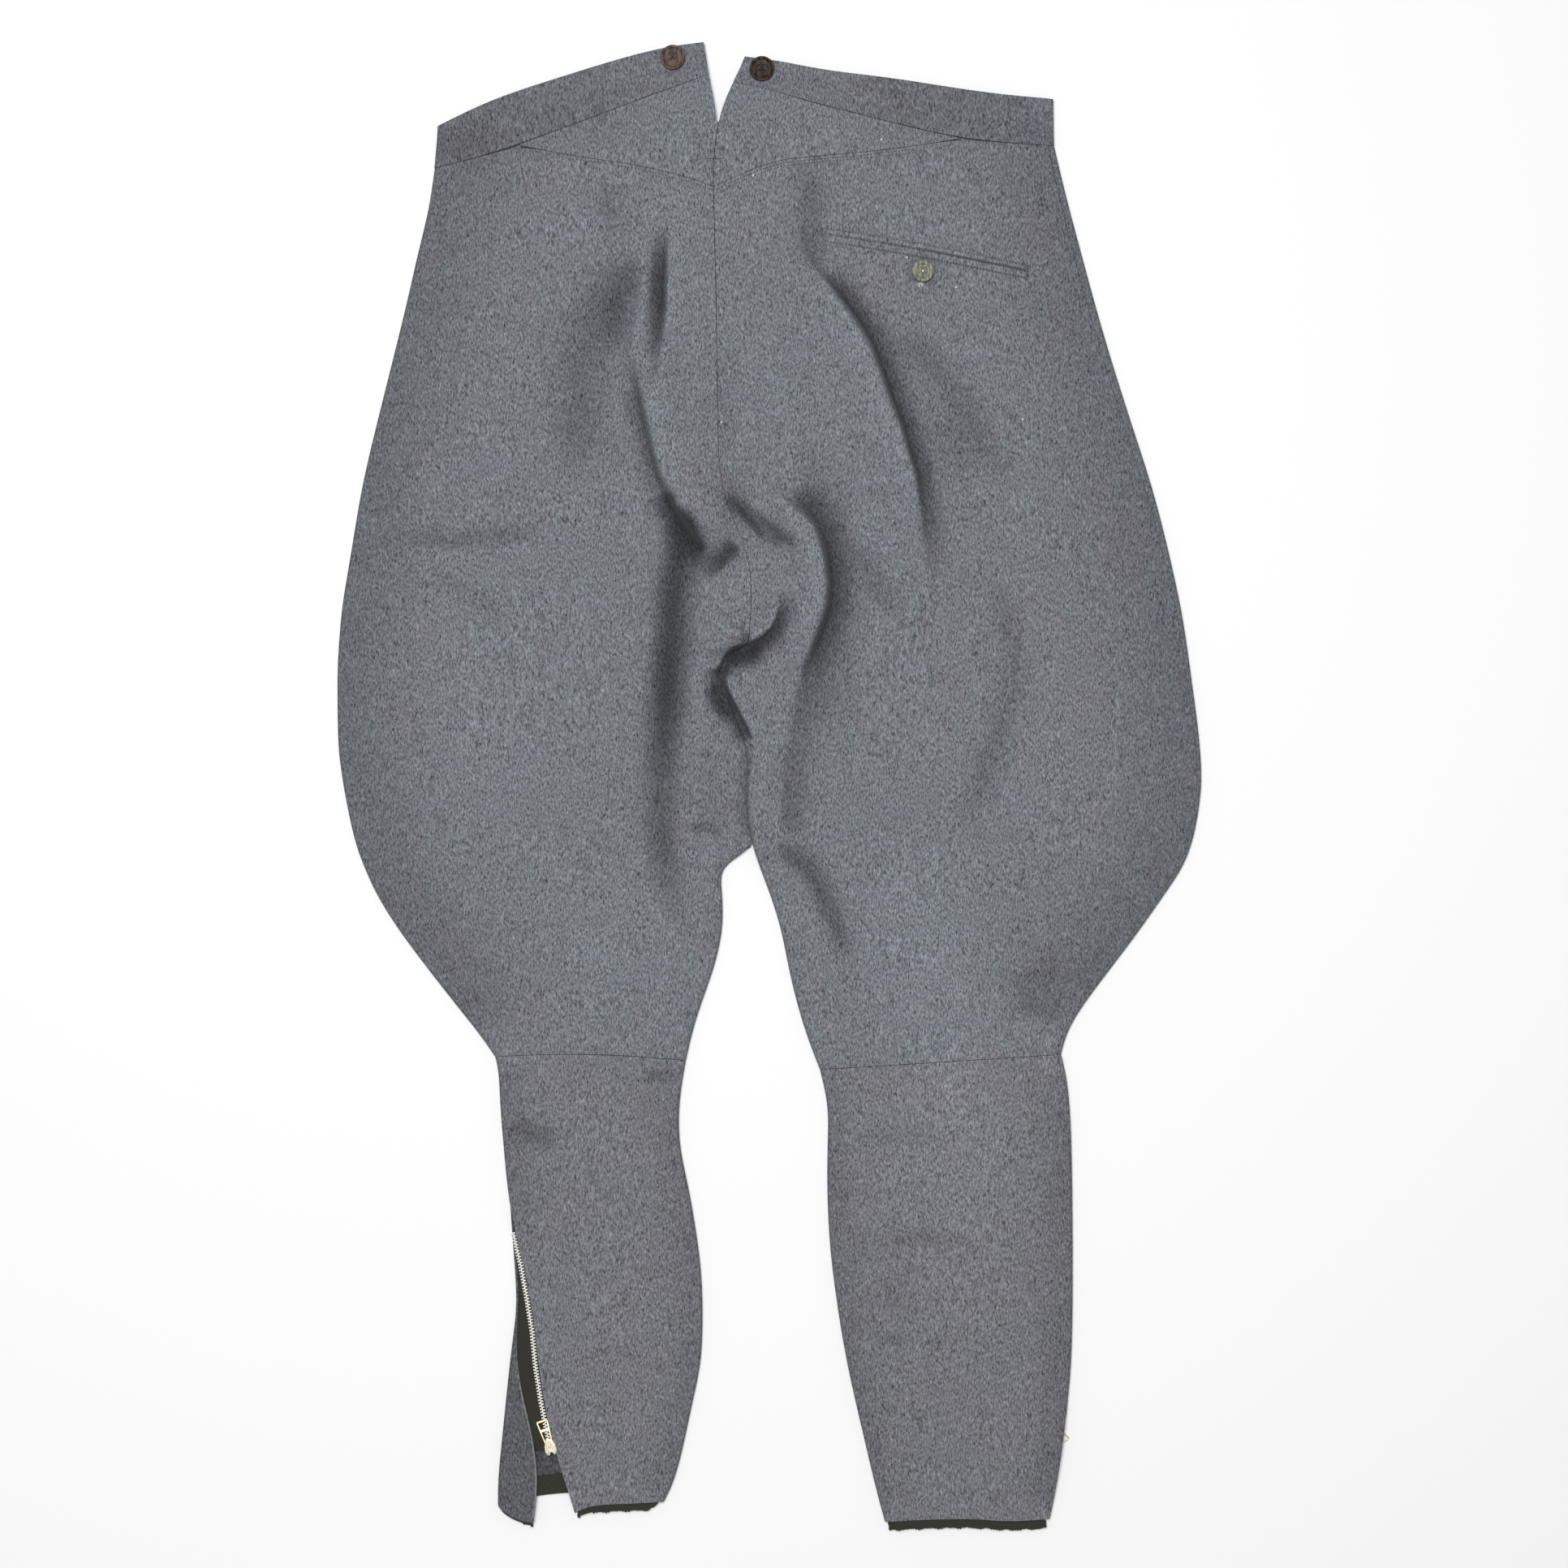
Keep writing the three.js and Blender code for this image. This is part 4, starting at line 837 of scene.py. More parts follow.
# Towards its outer edges the cloth sags a little where there is room, and painted shade darkens its colour.
SAGGING_EDGES_AND_PAINTED_SHADE = (
    Fold(
        (
            (-230, 480), (-234, 408), (-250, 341), (-278, 229), (-294, 140), (-300, 70), (-296, 5),
            (-278, -62), (-251, -107), (-217, -151), (-190, -185),
        ),
        -1.6, 42, 42, 0.05, 0.05, 1.6,
    ),
    Fold(
        (
            (197, 475), (205, 408), (223, 341), (258, 229), (281, 140), (294, 50), (298, 5),
            (281, -62), (250, -107), (216, -151), (203, -178),
        ),
        -1.6, 46, 46, 0.05, 0.05, 1.6,
    ),
    Fold(((-188, -190), (-184, -263), (-178, -320)), -1.2, 18, 18, 0.1, 0.2, 1.7),
    Fold(((204, -190), (209, -263), (209, -353), (204, -442), (194, -505)), -1.2, 20, 20, 0.1, 0.05, 1.7),
    Fold(((32, -190), (39, -241), (44, -331), (63, -442), (80, -510)), -1.2, 16, 16, 0.1, 0.05, 1.5),
    Fold(((-57, -190), (-62, -241), (-47, -353), (-54, -431), (-74, -496)), -1.2, 16, 16, 0.1, 0.05, 1.5),
    Fold(((-222, 452), (-150, 462), (-80, 478)), -0.8, 26, 26, 0.1, 0.3, 1.6),
    Fold(((40, 478), (110, 470), (190, 462)), -0.8, 26, 26, 0.3, 0.1, 1.4),
)
# Painted light: broad patches on the legs where the cloth's colour is made paler, as if lit more brightly;
# the height is a share, not a length.
PAINTED_LIGHT_PATCHES = (
    Fold(((88, -30), (108, -120), (122, -190), (128, -270), (128, -400)), 0.14, 42, 42, 0.12, 0.4),
    Fold(((-105, -30), (-110, -100), (-115, -180)), 0.06, 38, 38, 0.25, 0.3),
    Fold(((-195, 170), (-206, 60), (-190, -50)), 0.05, 44, 44, 0.25, 0.3),
    Fold(((150, 110), (185, 30), (170, -60)), 0.03, 44, 44),
)


@dataclass
class ClothPanel:
    """One cut piece of cloth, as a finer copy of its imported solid.

    The cut and its area are in metres. The other lengths are in millimetres.
    """

    node: str
    cut: tuple[float, float]
    area: float
    lies_on: tuple[str, ...] = ()
    slot: Slot = Slot.WOOL
    finish: Finish = WOOL
    underlayer_painted_shade: float = 0.0  # painted shade on the layer underneath, where the upper layer shades it
    rounding: float = 0.3
    flare: float = 0.0  # how far the lower corners are drawn out
    flare_height: float = 7.0
    flare_ease: float = 3.0
    flare_power: int = 9
    levels: int = 2
    cut_angle: float = 60.0
    crease_angle: float = 62.0
    shading_angle: float = 55.0
    fine_passes: tuple[tuple[float, float], ...] = ((15.0, 20.0), (7.5, 3.5))
    fold_start: float = 2.4  # from this height up to LAYER_TOP the folds come in
    least_heights: tuple[float, float] = (0.1, 1.7)  # of underside and top, over LAYER_TOP
    least_room: float = 0.01
    # the painted shade and light in the colour: the depth at which valley shade is near full, the share for
    # slopes, the share of painted light on crests, and the palest value
    hollow_depth: float = 8.0
    slope_painted_shade: float = 0.6
    crest_painted_light: float = 0.035
    palest: float = -0.2
    piece: bpy.types.Object = field(init=False, default=None)

    def build(self, finish: bpy.types.Material) -> bpy.types.Object:
        """Makes the piece and lets it stand for its node.

        Args:
            finish: The cloth's material.

        Returns:
            The piece.
        """
        self.piece = copy_of(self.node, "cloth_" + self.node)
        self._refine()
        for reach, width in self.fine_passes:
            self._divide_folds(reach, width)
        self._lift_folds()
        if self.flare:
            self._flare_ends()
        soften(self.piece, self.shading_angle)
        dress(self.piece, finish)
        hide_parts(self.node)
        return self.piece

    def _refine(self) -> None:
        """Smooths the panel between its cut edges, which stay where they are."""
        shape = bmesh.new()
        shape.from_mesh(self.piece.data)
        layers = shape.edges.layers.float
        firm = layers.get("crease_edge") or layers.new("crease_edge")
        for edge in shape.edges:
            if len(edge.link_faces) == 2 and edge.calc_face_angle() > math.radians(self.crease_angle):
                edge[firm] = 1.0
        shape.to_mesh(self.piece.data)
        shape.free()
        smooth = self.piece.modifiers.new("Smooth", "SUBSURF")
        smooth.levels = smooth.render_levels = self.levels
        round_edges(self.piece, self.rounding, self.cut_angle)

    def _divide_folds(self, reach: float, width: float) -> None:
        """Halves the faces of the upper layer near the crisp folds.

        Args:
            reach: How far from the folds' paths.
            width: The folds count whose narrower side is less wide than this.
        """
        shape = bmesh.new()
        shape.from_mesh(self.piece.data)
        shape.faces.ensure_lookup_table()
        centres = np.array([face.calc_center_median() for face in shape.faces]) / MM
        near = np.zeros(len(centres), bool)
        for fold in CRISP_FOLDS:
            if min(fold.left, fold.right) < width:
                distance, _ = measure(centres[:, :2], fold.path)
                near |= np.abs(distance) < reach
        near &= centres[:, 2] > LAYER_TOP
        edges = {edge for i in np.flatnonzero(near) for edge in shape.faces[i].edges}
        if edges:
            bmesh.ops.subdivide_edges(shape, edges=list(edges), cuts=1, use_grid_fill=True)
        shape.to_mesh(self.piece.data)
        shape.free()

    def _lift_folds(self) -> None:
        """Adds the folds to the upper layer, keeps its valleys off the layer below, and stores painted
        shade and painted light for its colour.
        """
        mesh = self.piece.data
        points = points_of(mesh)
        outwards = np.zeros(len(mesh.vertices) * 3)
        mesh.vertices.foreach_get("normal", outwards)
        height = points[:, 2] / MM
        upper = eased(height, self.fold_start, LAYER_TOP)
        lift = np.zeros(len(points))
        depth = np.zeros(len(points))
        for fold in CRISP_FOLDS + SOFT_FOLDS + SAGGING_EDGES_AND_PAINTED_SHADE:
            part = fold.lift(points[:, :2] / MM)
            lift += part
            depth += np.maximum(-part, 0) * fold.painted_darkness
        underside, top = self.least_heights
        lowest = np.where(outwards.reshape(-1, 3)[:, 2] > 0, LAYER_TOP + top, LAYER_TOP + underside)
        room = np.maximum(height - lowest, self.least_room)
        lowered = -room * (1 - np.exp(np.minimum(lift, 0) / room))
        points[:, 2] += np.where(lift < 0, lowered, lift) * upper * MM
        set_points(mesh, points)
        mesh.vertices.foreach_get("normal", outwards)
        # painted shade: the colour darkens with the valleys' depth, on steep slopes, and on the layer under
        # the upper one
        slope = 1 - np.abs(outwards.reshape(-1, 3)[:, 2])
        hollow = (1 - np.exp(-depth / self.hollow_depth) + slope * self.slope_painted_shade) * upper
        hollow += self.underlayer_painted_shade * (1 - upper)
        # painted light: crests and broad patches make the colour paler
        painted_patch_light = sum(patch.lift(points[:, :2] / MM) for patch in PAINTED_LIGHT_PATCHES)
        painted_light = (np.maximum(lift, 0) * self.crest_painted_light + painted_patch_light) * upper
        layer = mesh.attributes.new(PAINTED_SHADE_ATTRIBUTE, "FLOAT", "POINT")
        layer.data.foreach_set("value", np.clip(hollow - painted_light, self.palest, 1))

    def _flare_ends(self) -> None:
        """Draws out the two lower corners of a hem tape, below the hem."""
        points = points_of(self.piece.data)
        low, high = points.min(0), points.max(0)
        below = eased(low[1] + self.flare_height * MM - points[:, 1], 0, self.flare_ease * MM)
        aside = (2 * points[:, 0] - low[0] - high[0]) / (high[0] - low[0])
        points[:, 0] += self.flare * MM * below * aside**self.flare_power
        set_points(self.piece.data, points)

    def declare(self) -> None:
        """Does nothing; the cut of the cloth is not stated."""


PANELS = (
    ClothPanel("back_left", (0.31, 0.64), 0.157, ("front_left",)),
    ClothPanel("back_right", (0.35, 0.65), 0.174, ("front_right",)),
    ClothPanel("calf_back_left", (0.15, 0.32), 0.038, ("calf_front_left",), finish=CALF_WOOL),
    ClothPanel("calf_back_right", (0.19, 0.33), 0.055, ("calf_front_right",), finish=CALF_WOOL),
    ClothPanel("calf_front_left", (0.16, 0.33), 0.039, finish=FLAP_WOOL, underlayer_painted_shade=0.35),
    ClothPanel("calf_front_right", (0.165, 0.325), 0.045, finish=CALF_WOOL),
    ClothPanel("front_left", (0.285, 0.62), 0.144),
    ClothPanel("front_right", (0.345, 0.64), 0.172),
    ClothPanel("yoke_left", (0.14, 0.075), 0.0054, ("front_left",)),
    ClothPanel("yoke_right", (0.165, 0.07), 0.0057, ("front_right",)),
    ClothPanel(
        "waistband_back_left", (0.205, 0.042), 0.0067, ("waistband_front_left",), Slot.BAND, BAND_WOOL
    ),
    ClothPanel(
        "waistband_back_right", (0.23, 0.04), 0.0069, ("waistband_front_right",), Slot.BAND, BAND_WOOL
    ),
    ClothPanel("waistband_front_left", (0.195, 0.034), 0.0058, (), Slot.BAND, BAND_WOOL),
    ClothPanel("waistband_front_right", (0.235, 0.036), 0.0071, (), Slot.BAND, BAND_WOOL),
    ClothPanel("pocket_welt_upper", (0.012, 0.146), 0.0008, ("back_right",), rounding=0.25),
    ClothPanel("pocket_welt_lower", (0.012, 0.146), 0.0008, ("back_right",), rounding=0.25),
    ClothPanel(
        "hem_tape_back_left", (0.0148, 0.064), 0.0009, ("calf_back_left",), Slot.TAPE, HEM_TAPE, flare=2.2
    ),
    ClothPanel(
        "hem_tape_back_right", (0.0148, 0.111), 0.0016, ("calf_back_right",), Slot.TAPE, HEM_TAPE, flare=2.8
    ),
    ClothPanel("hem_tape_front_left", (0.0148, 0.137), 0.002, ("calf_front_left",), Slot.TAPE, HEM_TAPE),
    ClothPanel("hem_tape_front_right", (0.0148, 0.112), 0.0016, ("calf_front_right",), Slot.TAPE, HEM_TAPE),
    ClothPanel("zip_tape_left", (0.021, 0.152), 0.0031, ("calf_back_left",), Slot.TAPE, ZIP_TAPE),
    ClothPanel("zip_tape_right", (0.0145, 0.158), 0.0021, ("calf_back_right",), Slot.TAPE, ZIP_TAPE),
)


class Ground:
    """The finished cloth seen from above, so that small parts can be set on it."""

    sky: float = 0.1  # a height over all the cloth

    def __init__(self, pieces: Sequence[bpy.types.Object]) -> None:
        """Gathers the faces of the pieces.

        Args:
            pieces: The pieces of cloth.
        """
        corners: list[Vector] = []
        faces: list[list[int]] = []
        for piece in pieces:
            start = len(corners)
            corners += [v.co.copy() for v in piece.data.vertices]
            faces += [[start + v for v in face.vertices] for face in piece.data.polygons]
        self.tree = BVHTree.FromPolygons(corners, faces)

    def at(self, x: float, y: float) -> tuple[Vector, Vector]:
        """Finds the top of the cloth at a place.

        Args:
            x: The place's x in millimetres.
            y: The place's y in millimetres.

        Returns:
            The point there, and the cloth's normal.
        """
        point, normal, _, _ = self.tree.ray_cast(Vector((x * MM, y * MM, self.sky)), -UP)
        if point is None:
            return Vector((x * MM, y * MM, 0)), UP.copy()
        return point, normal if normal.z > 0 else -normal


# ---------------------------------------------------------------------------------------------
# Sewing
# ---------------------------------------------------------------------------------------------


@dataclass(frozen=True)
class StitchRow:
    """A row of machine stitches, in millimetres, whose thickness is a share of the usual one."""

    path: Path
    pitch: float = 2.4
    thickness: float = 1.0


@dataclass
class Sewing:
    """The machine stitches that show, in millimetres."""

    length: float = 1.7
    width: float = 0.62
    flatness: float = 0.7
    sunk: float = 0.06
    rows: tuple[StitchRow, ...] = (
        # the yokes
        StitchRow(
            ((-36, 412.5), (-27, 417.2), (-9, 425.2), (9, 430.8), (34, 433.5), (58, 435.4), (100, 440.2)),
            2.4, 1.4,
        ),
        StitchRow(
            ((-35, 410), (-26, 415), (-8, 423), (9, 428.6), (34, 431.4), (58, 433.3), (100, 438)),
            2.4, 1.4,
        ),
        StitchRow(((-38, 411.5), (-50, 416.2), (-70, 421.5), (-90, 426.3), (-115, 430.5), (-137, 433.6))),
        # the waistband
        StitchRow(
            ((-226, 428.4), (-190, 438.7), (-150, 452.7), (-110, 467.2), (-80, 478.7), (-45, 491.2)), 2.8
        ),
        StitchRow(
            ((-18, 485.6), (10, 478.7), (40, 470.2), (80, 460.2), (120, 450.7), (160, 445.2), (195, 443)),
            2.8,
        ),
        # the bar tacks at the waist
        StitchRow(((-44, 440.5), (-31, 440.5)), 1.2),
        StitchRow(((-44, 433.7), (-31, 433.7)), 1.2),
        # the foot of the notch
        StitchRow(((-35.8, 460.5), (-36.2, 451)), 1.2, 2.6),
        # the seat seam
        StitchRow(((-38.2, 408), (-37.5, 360), (-36.6, 310), (-35.4, 260), (-33.5, 225)), 3.6),
        # the hip pocket: its lines and its ends
        StitchRow(((37, 385.2), (70.8, 380.3), (105, 374.3), (133.6, 368.6), (177, 359.8)), 2.1, 1.4),
        StitchRow(((37, 376.6), (70.8, 371.7), (105, 365.7), (133.6, 360), (177, 351.2)), 2.1, 1.4),
        StitchRow(((37, 381.9), (70.8, 377), (105, 371)), 1.6, 1.5),
        StitchRow(((105, 371), (133.6, 365.3), (177, 356.6)), 1.4, 2.4),
        StitchRow(((36.6, 385), (36.6, 377)), 1.3, 1.3),
        StitchRow(((177.6, 359.5), (177.6, 351)), 1.3, 1.3),
        # the darts and the right side seam
        StitchRow(((-174, 443), (-171.5, 427), (-168, 409)), 2.2),
        StitchRow(((76, 451), (76.4, 437)), 2.2),
        StitchRow(((193, 441), (200, 412), (209, 374), (219, 338)), 3.0),
        # the waistband's right end
        StitchRow(((174, 452), (196, 452)), 2.2),
    )

    def build(self, ground: Ground, finish: bpy.types.Material) -> bpy.types.Object:
        """Lays the stitches on the cloth.

        Args:
            ground: The finished cloth.
            finish: The thread's material.

        Returns:
            The piece that holds them all.
        """
        places = []
        for row in self.rows:
            stout = Matrix.Diagonal((row.thickness, 1, 1, 1))
            for x, y, heading in spread_along(row.path, row.pitch):
                point, normal = ground.at(x, y)
                places.append(seat_on(point - normal * self.sunk * MM, normal, heading) @ stout)
        piece = repeated("stitches", bead(self.width, self.length, self.width * self.flatness), places)
        dress(piece, finish)
        return piece


@dataclass
class Lint:
    """Pale specks caught in the nap, and a loose tuft under the pocket's button, in millimetres."""

    specks: tuple[tuple[float, float], ...] = (
        (-11.5, 422), (77, 447), (94.4, 365.4), (-33.3, 251), (128.5, 344.7), (174.4, 253.4),
    )
    speck: tuple[float, float, float] = (1.5, 2.1, 1.1)
    tuft: tuple[float, float] = (103.9, 346.6)
    strand: tuple[float, float, float] = (0.5, 3.6, 0.4)
    strands: int = 7
    scatter: tuple[float, float] = (1.6, 0.9)
    raised: float = 0.1

    def build(self, ground: Ground, finish: bpy.types.Material) -> list[bpy.types.Object]:
        """Lays the specks and the tuft on the cloth.

        Args:
            ground: The finished cloth.
            finish: The material of both.

        Returns:
            The piece of the specks and the piece of the tuft.
        """
        places = [self._at(ground, x, y, x) for x, y in self.specks]
        strewn = []
        for k in range(self.strands):
            x = self.tuft[0] + self.scatter[0] * math.sin(2.4 * k)
            y = self.tuft[1] + self.scatter[1] * math.cos(1.7 * k)
            strewn.append(self._at(ground, x, y, 0.5 + 0.9 * k))
        flecks = repeated("lint", bead(*self.speck), places)
        tuft = repeated("loose_thread", bead(*self.strand), strewn)
        for piece in (flecks, tuft):
            dress(piece, finish)
        return [flecks, tuft]

    def _at(self, ground: Ground, x: float, y: float, turn: float) -> Matrix:
        """Finds a place on the cloth.

        Args:
            ground: The finished cloth.
            x: The place's x.
            y: The place's y.
            turn: How far its heading is turned from +X, in radians.

        Returns:
            The place.
        """
        point, normal = ground.at(x, y)
        heading = Vector((math.cos(turn), math.sin(turn), 0))
        return seat_on(point + normal * self.raised * MM, normal, heading)


@dataclass
class HemEdge:
    """The looped edges of the hem tapes, in millimetres."""

    nodes: tuple[str, ...] = ("hem_tape_back_left", "hem_tape_back_right", "hem_tape_front_left")
    pitch: float = 1.9
    loop: tuple[float, float, float] = (2.4, 3.0, 0.8)
    below: float = 5.0
    slip: float = 1.5  # where the tape's rim is further aside than this, there is no loop
    uneven: tuple[float, float, float] = (0.4, 0.3, 0.2)  # place, turn in radians, share of length

    def build(self, finish: bpy.types.Material) -> bpy.types.Object:
        """Makes the loops of all the tapes.

        Args:
            finish: The tapes' material.

        Returns:
            The piece that holds them all.
        """
        tapes = [panel.piece.data for panel in PANELS if panel.node in self.nodes]
        places = [place for tape in tapes for place in self._along(tape)]
        loops = repeated("hem_loops", bead(*self.loop), places)
        dress(loops, finish)
        return loops

    def _along(self, mesh: bpy.types.Mesh) -> list[Matrix]:
        """Finds where the loops of one tape sit.

        Args:
            mesh: The tape's mesh.

        Returns:
            Places on its lower rim, a little uneven.
        """
        points = points_of(mesh)
        faces = [list(face.vertices) for face in mesh.polygons]
        tape = BVHTree.FromPolygons([Vector(p) for p in points], faces)
        low, high = points.min(0) / MM, points.max(0) / MM
        shift, twist, growth = self.uneven
        places = []
        for k, x in enumerate(np.arange(low[0], high[0], self.pitch)):
            start = Vector((x, low[1] - self.below, (low[2] + high[2]) / 2)) * MM
            rim = tape.find_nearest(start)[0]
            if abs(rim.x - start.x) > self.slip * MM:
                continue
            rim.y += shift * math.sin(0.9 * k) * MM
            turn = Matrix.Rotation(twist * math.sin(2.3 * k), 4, "Z")
            swell = Matrix.Diagonal((1, 1.0 + growth * math.sin(1.7 * k), 1, 1))
            places.append(Matrix.Translation(rim) @ turn @ swell)
        return places


@dataclass
class FlapEdge:
    """The turned edge of the left calf's flap, paler than its nap, in millimetres."""

    path: Path = (
        (-173.4, -398), (-167.2, -440), (-161.8, -470), (-161.4, -490), (-162.4, -504),
    )
    pitch: float = 2.0
    ridge: tuple[float, float, float] = (1.3, 4.6, 0.8)
    search: float = 3.0
    step: float = 0.25
    drop: float = 1.0
    inside: float = 0.5

    def build(self, ground: Ground, finish: bpy.types.Material) -> bpy.types.Object:
        """Lays the ridge along the rim of the flap.

        Args:
            ground: The finished cloth.
            finish: The ridge's material.

        Returns:
            The ridge.
        """
        places = []
        for x, y, heading in spread_along(self.path, self.pitch):
            point, normal = self._rim(ground, x, y)
            point.x -= self.inside * MM
            places.append(seat_on(point, normal, heading))
        edge = repeated("flap_edge", bead(*self.ridge), places)
        dress(edge, finish)
        return edge

    def _rim(self, ground: Ground, x: float, y: float) -> tuple[Vector, Vector]:
        """Finds the last place on the flap's top before the cloth drops away.

        Args:
            ground: The finished cloth.
            x: The x near which the rim is.
            y: The rim's y.

        Returns:
            The point there, and the cloth's normal.
        """
        spots = [ground.at(near, y) for near in np.arange(x - self.search, x + self.search, self.step)]
        top = max(spot[0].z for spot in spots)
        return [spot for spot in spots if spot[0].z > top - self.drop * MM][-1]


# ---------------------------------------------------------------------------------------------
# Buttons
# ---------------------------------------------------------------------------------------------


@dataclass
class Button:
    """A sewn button with a raised rim and four holes, in millimetres."""

    node: str
    diameter: float
    height: float
    slot: Slot
    rim: float = 1.5
    dish: float = 0.9
    hole: float = 1.3
    spread: float = 1.75
    stitch: tuple[float, float] = (0.6, 4.4)
    stitch_height: float = 0.8
    sewn: float = 1.15  # how deep under the rim the thread lies, in dishes
    floor: float = 0.5
    slope: float = 0.5
    well: float = 1.4  # how far inside the slope the middle sinks again, in rims
    well_depth: float = 0.2  # in dishes
    wear: tuple[float, float, int] = (0.45, 35.0, 3)
    shading_angle: float = 40.0

    def build(self, finish: bpy.types.Material, thread: bpy.types.Material) -> list[bpy.types.Object]:
        """Makes the button in its packed place and sews it on.

        Args:
            finish: The button's material.
            thread: The material of the thread through its holes.

        Returns:
            The button and its thread.
        """
        middle, normal = lean_of(points_of(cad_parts[self.node].data))
        place = seat_on(middle, normal, Vector((0, 1, 0)))
        disc = self._disc()
        self._drill(disc)
        disc.data.transform(place)
        soften(disc, self.shading_angle)
        dress(disc, finish)
        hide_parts(self.node)
        raised = Matrix.Translation((0, 0, (self.height / 2 - self.dish * self.sewn) * MM))
        crossed = [place @ raised @ Matrix.Rotation(turn, 4, "Z") for turn in (math.pi / 4, -math.pi / 4)]
        stitches = repeated(self.node + "_thread", bead(*self.stitch, self.stitch_height), crossed)
        dress(stitches, thread)
        return [disc, stitches]

    def _disc(self) -> bpy.types.Object:
        """Turns the round body.

        Returns:
            A cylinder whose top is sunk inside its rim.
        """
        deselect()
        bpy.ops.mesh.primitive_cylinder_add(
            vertices=48, radius=self.diameter / 2 * MM, depth=self.height * MM
        )
        disc = bpy.context.object
        disc.name = "turned_" + self.node
        bpy.context.tool_settings.mesh_select_mode = (False, False, True)
        bpy.ops.object.mode_set(mode="EDIT")
        bpy.ops.mesh.select_all(action="DESELECT")
        bpy.ops.object.mode_set(mode="OBJECT")
        for face in disc.data.polygons:
            face.select = face.normal.z > 0.9
        bpy.ops.object.mode_set(mode="EDIT")
        bpy.ops.mesh.inset(thickness=self.rim * MM)
        bpy.ops.mesh.inset(thickness=self.slope * MM)
        bpy.ops.transform.translate(value=(0, 0, -self.dish * MM))
        bpy.ops.mesh.inset(thickness=self.rim * self.well * MM)
        bpy.ops.transform.translate(value=(0, 0, -self.well_depth * self.dish * MM))
        bpy.ops.object.mode_set(mode="OBJECT")
        round_edges(disc, *self.wear)
        return disc

    def _drill(self, disc: bpy.types.Object) -> None:
        """Sinks the four holes, down to a thin floor.

        Args:
            disc: The round body.
        """
        deselect()
        bpy.ops.mesh.primitive_cylinder_add(
            vertices=16, radius=self.hole * MM, depth=self.height * 2 * MM
        )
        drill = bpy.context.object
        reach = self.spread * MM
        raised = (self.height / 2 + self.floor) * MM
        spots = [Matrix.Translation((x, y, raised)) for x in (-reach, reach) for y in (-reach, reach)]
        drills = repeated("drills", drill.data, spots)
        cut = disc.modifiers.new("Holes", "BOOLEAN")
        cut.object = drills
        cut.solver = "EXACT"
        apply_modifiers(disc)
        bpy.data.objects.remove(drill)
        bpy.data.objects.remove(drills)


# ---------------------------------------------------------------------------------------------
# Zips
# ---------------------------------------------------------------------------------------------


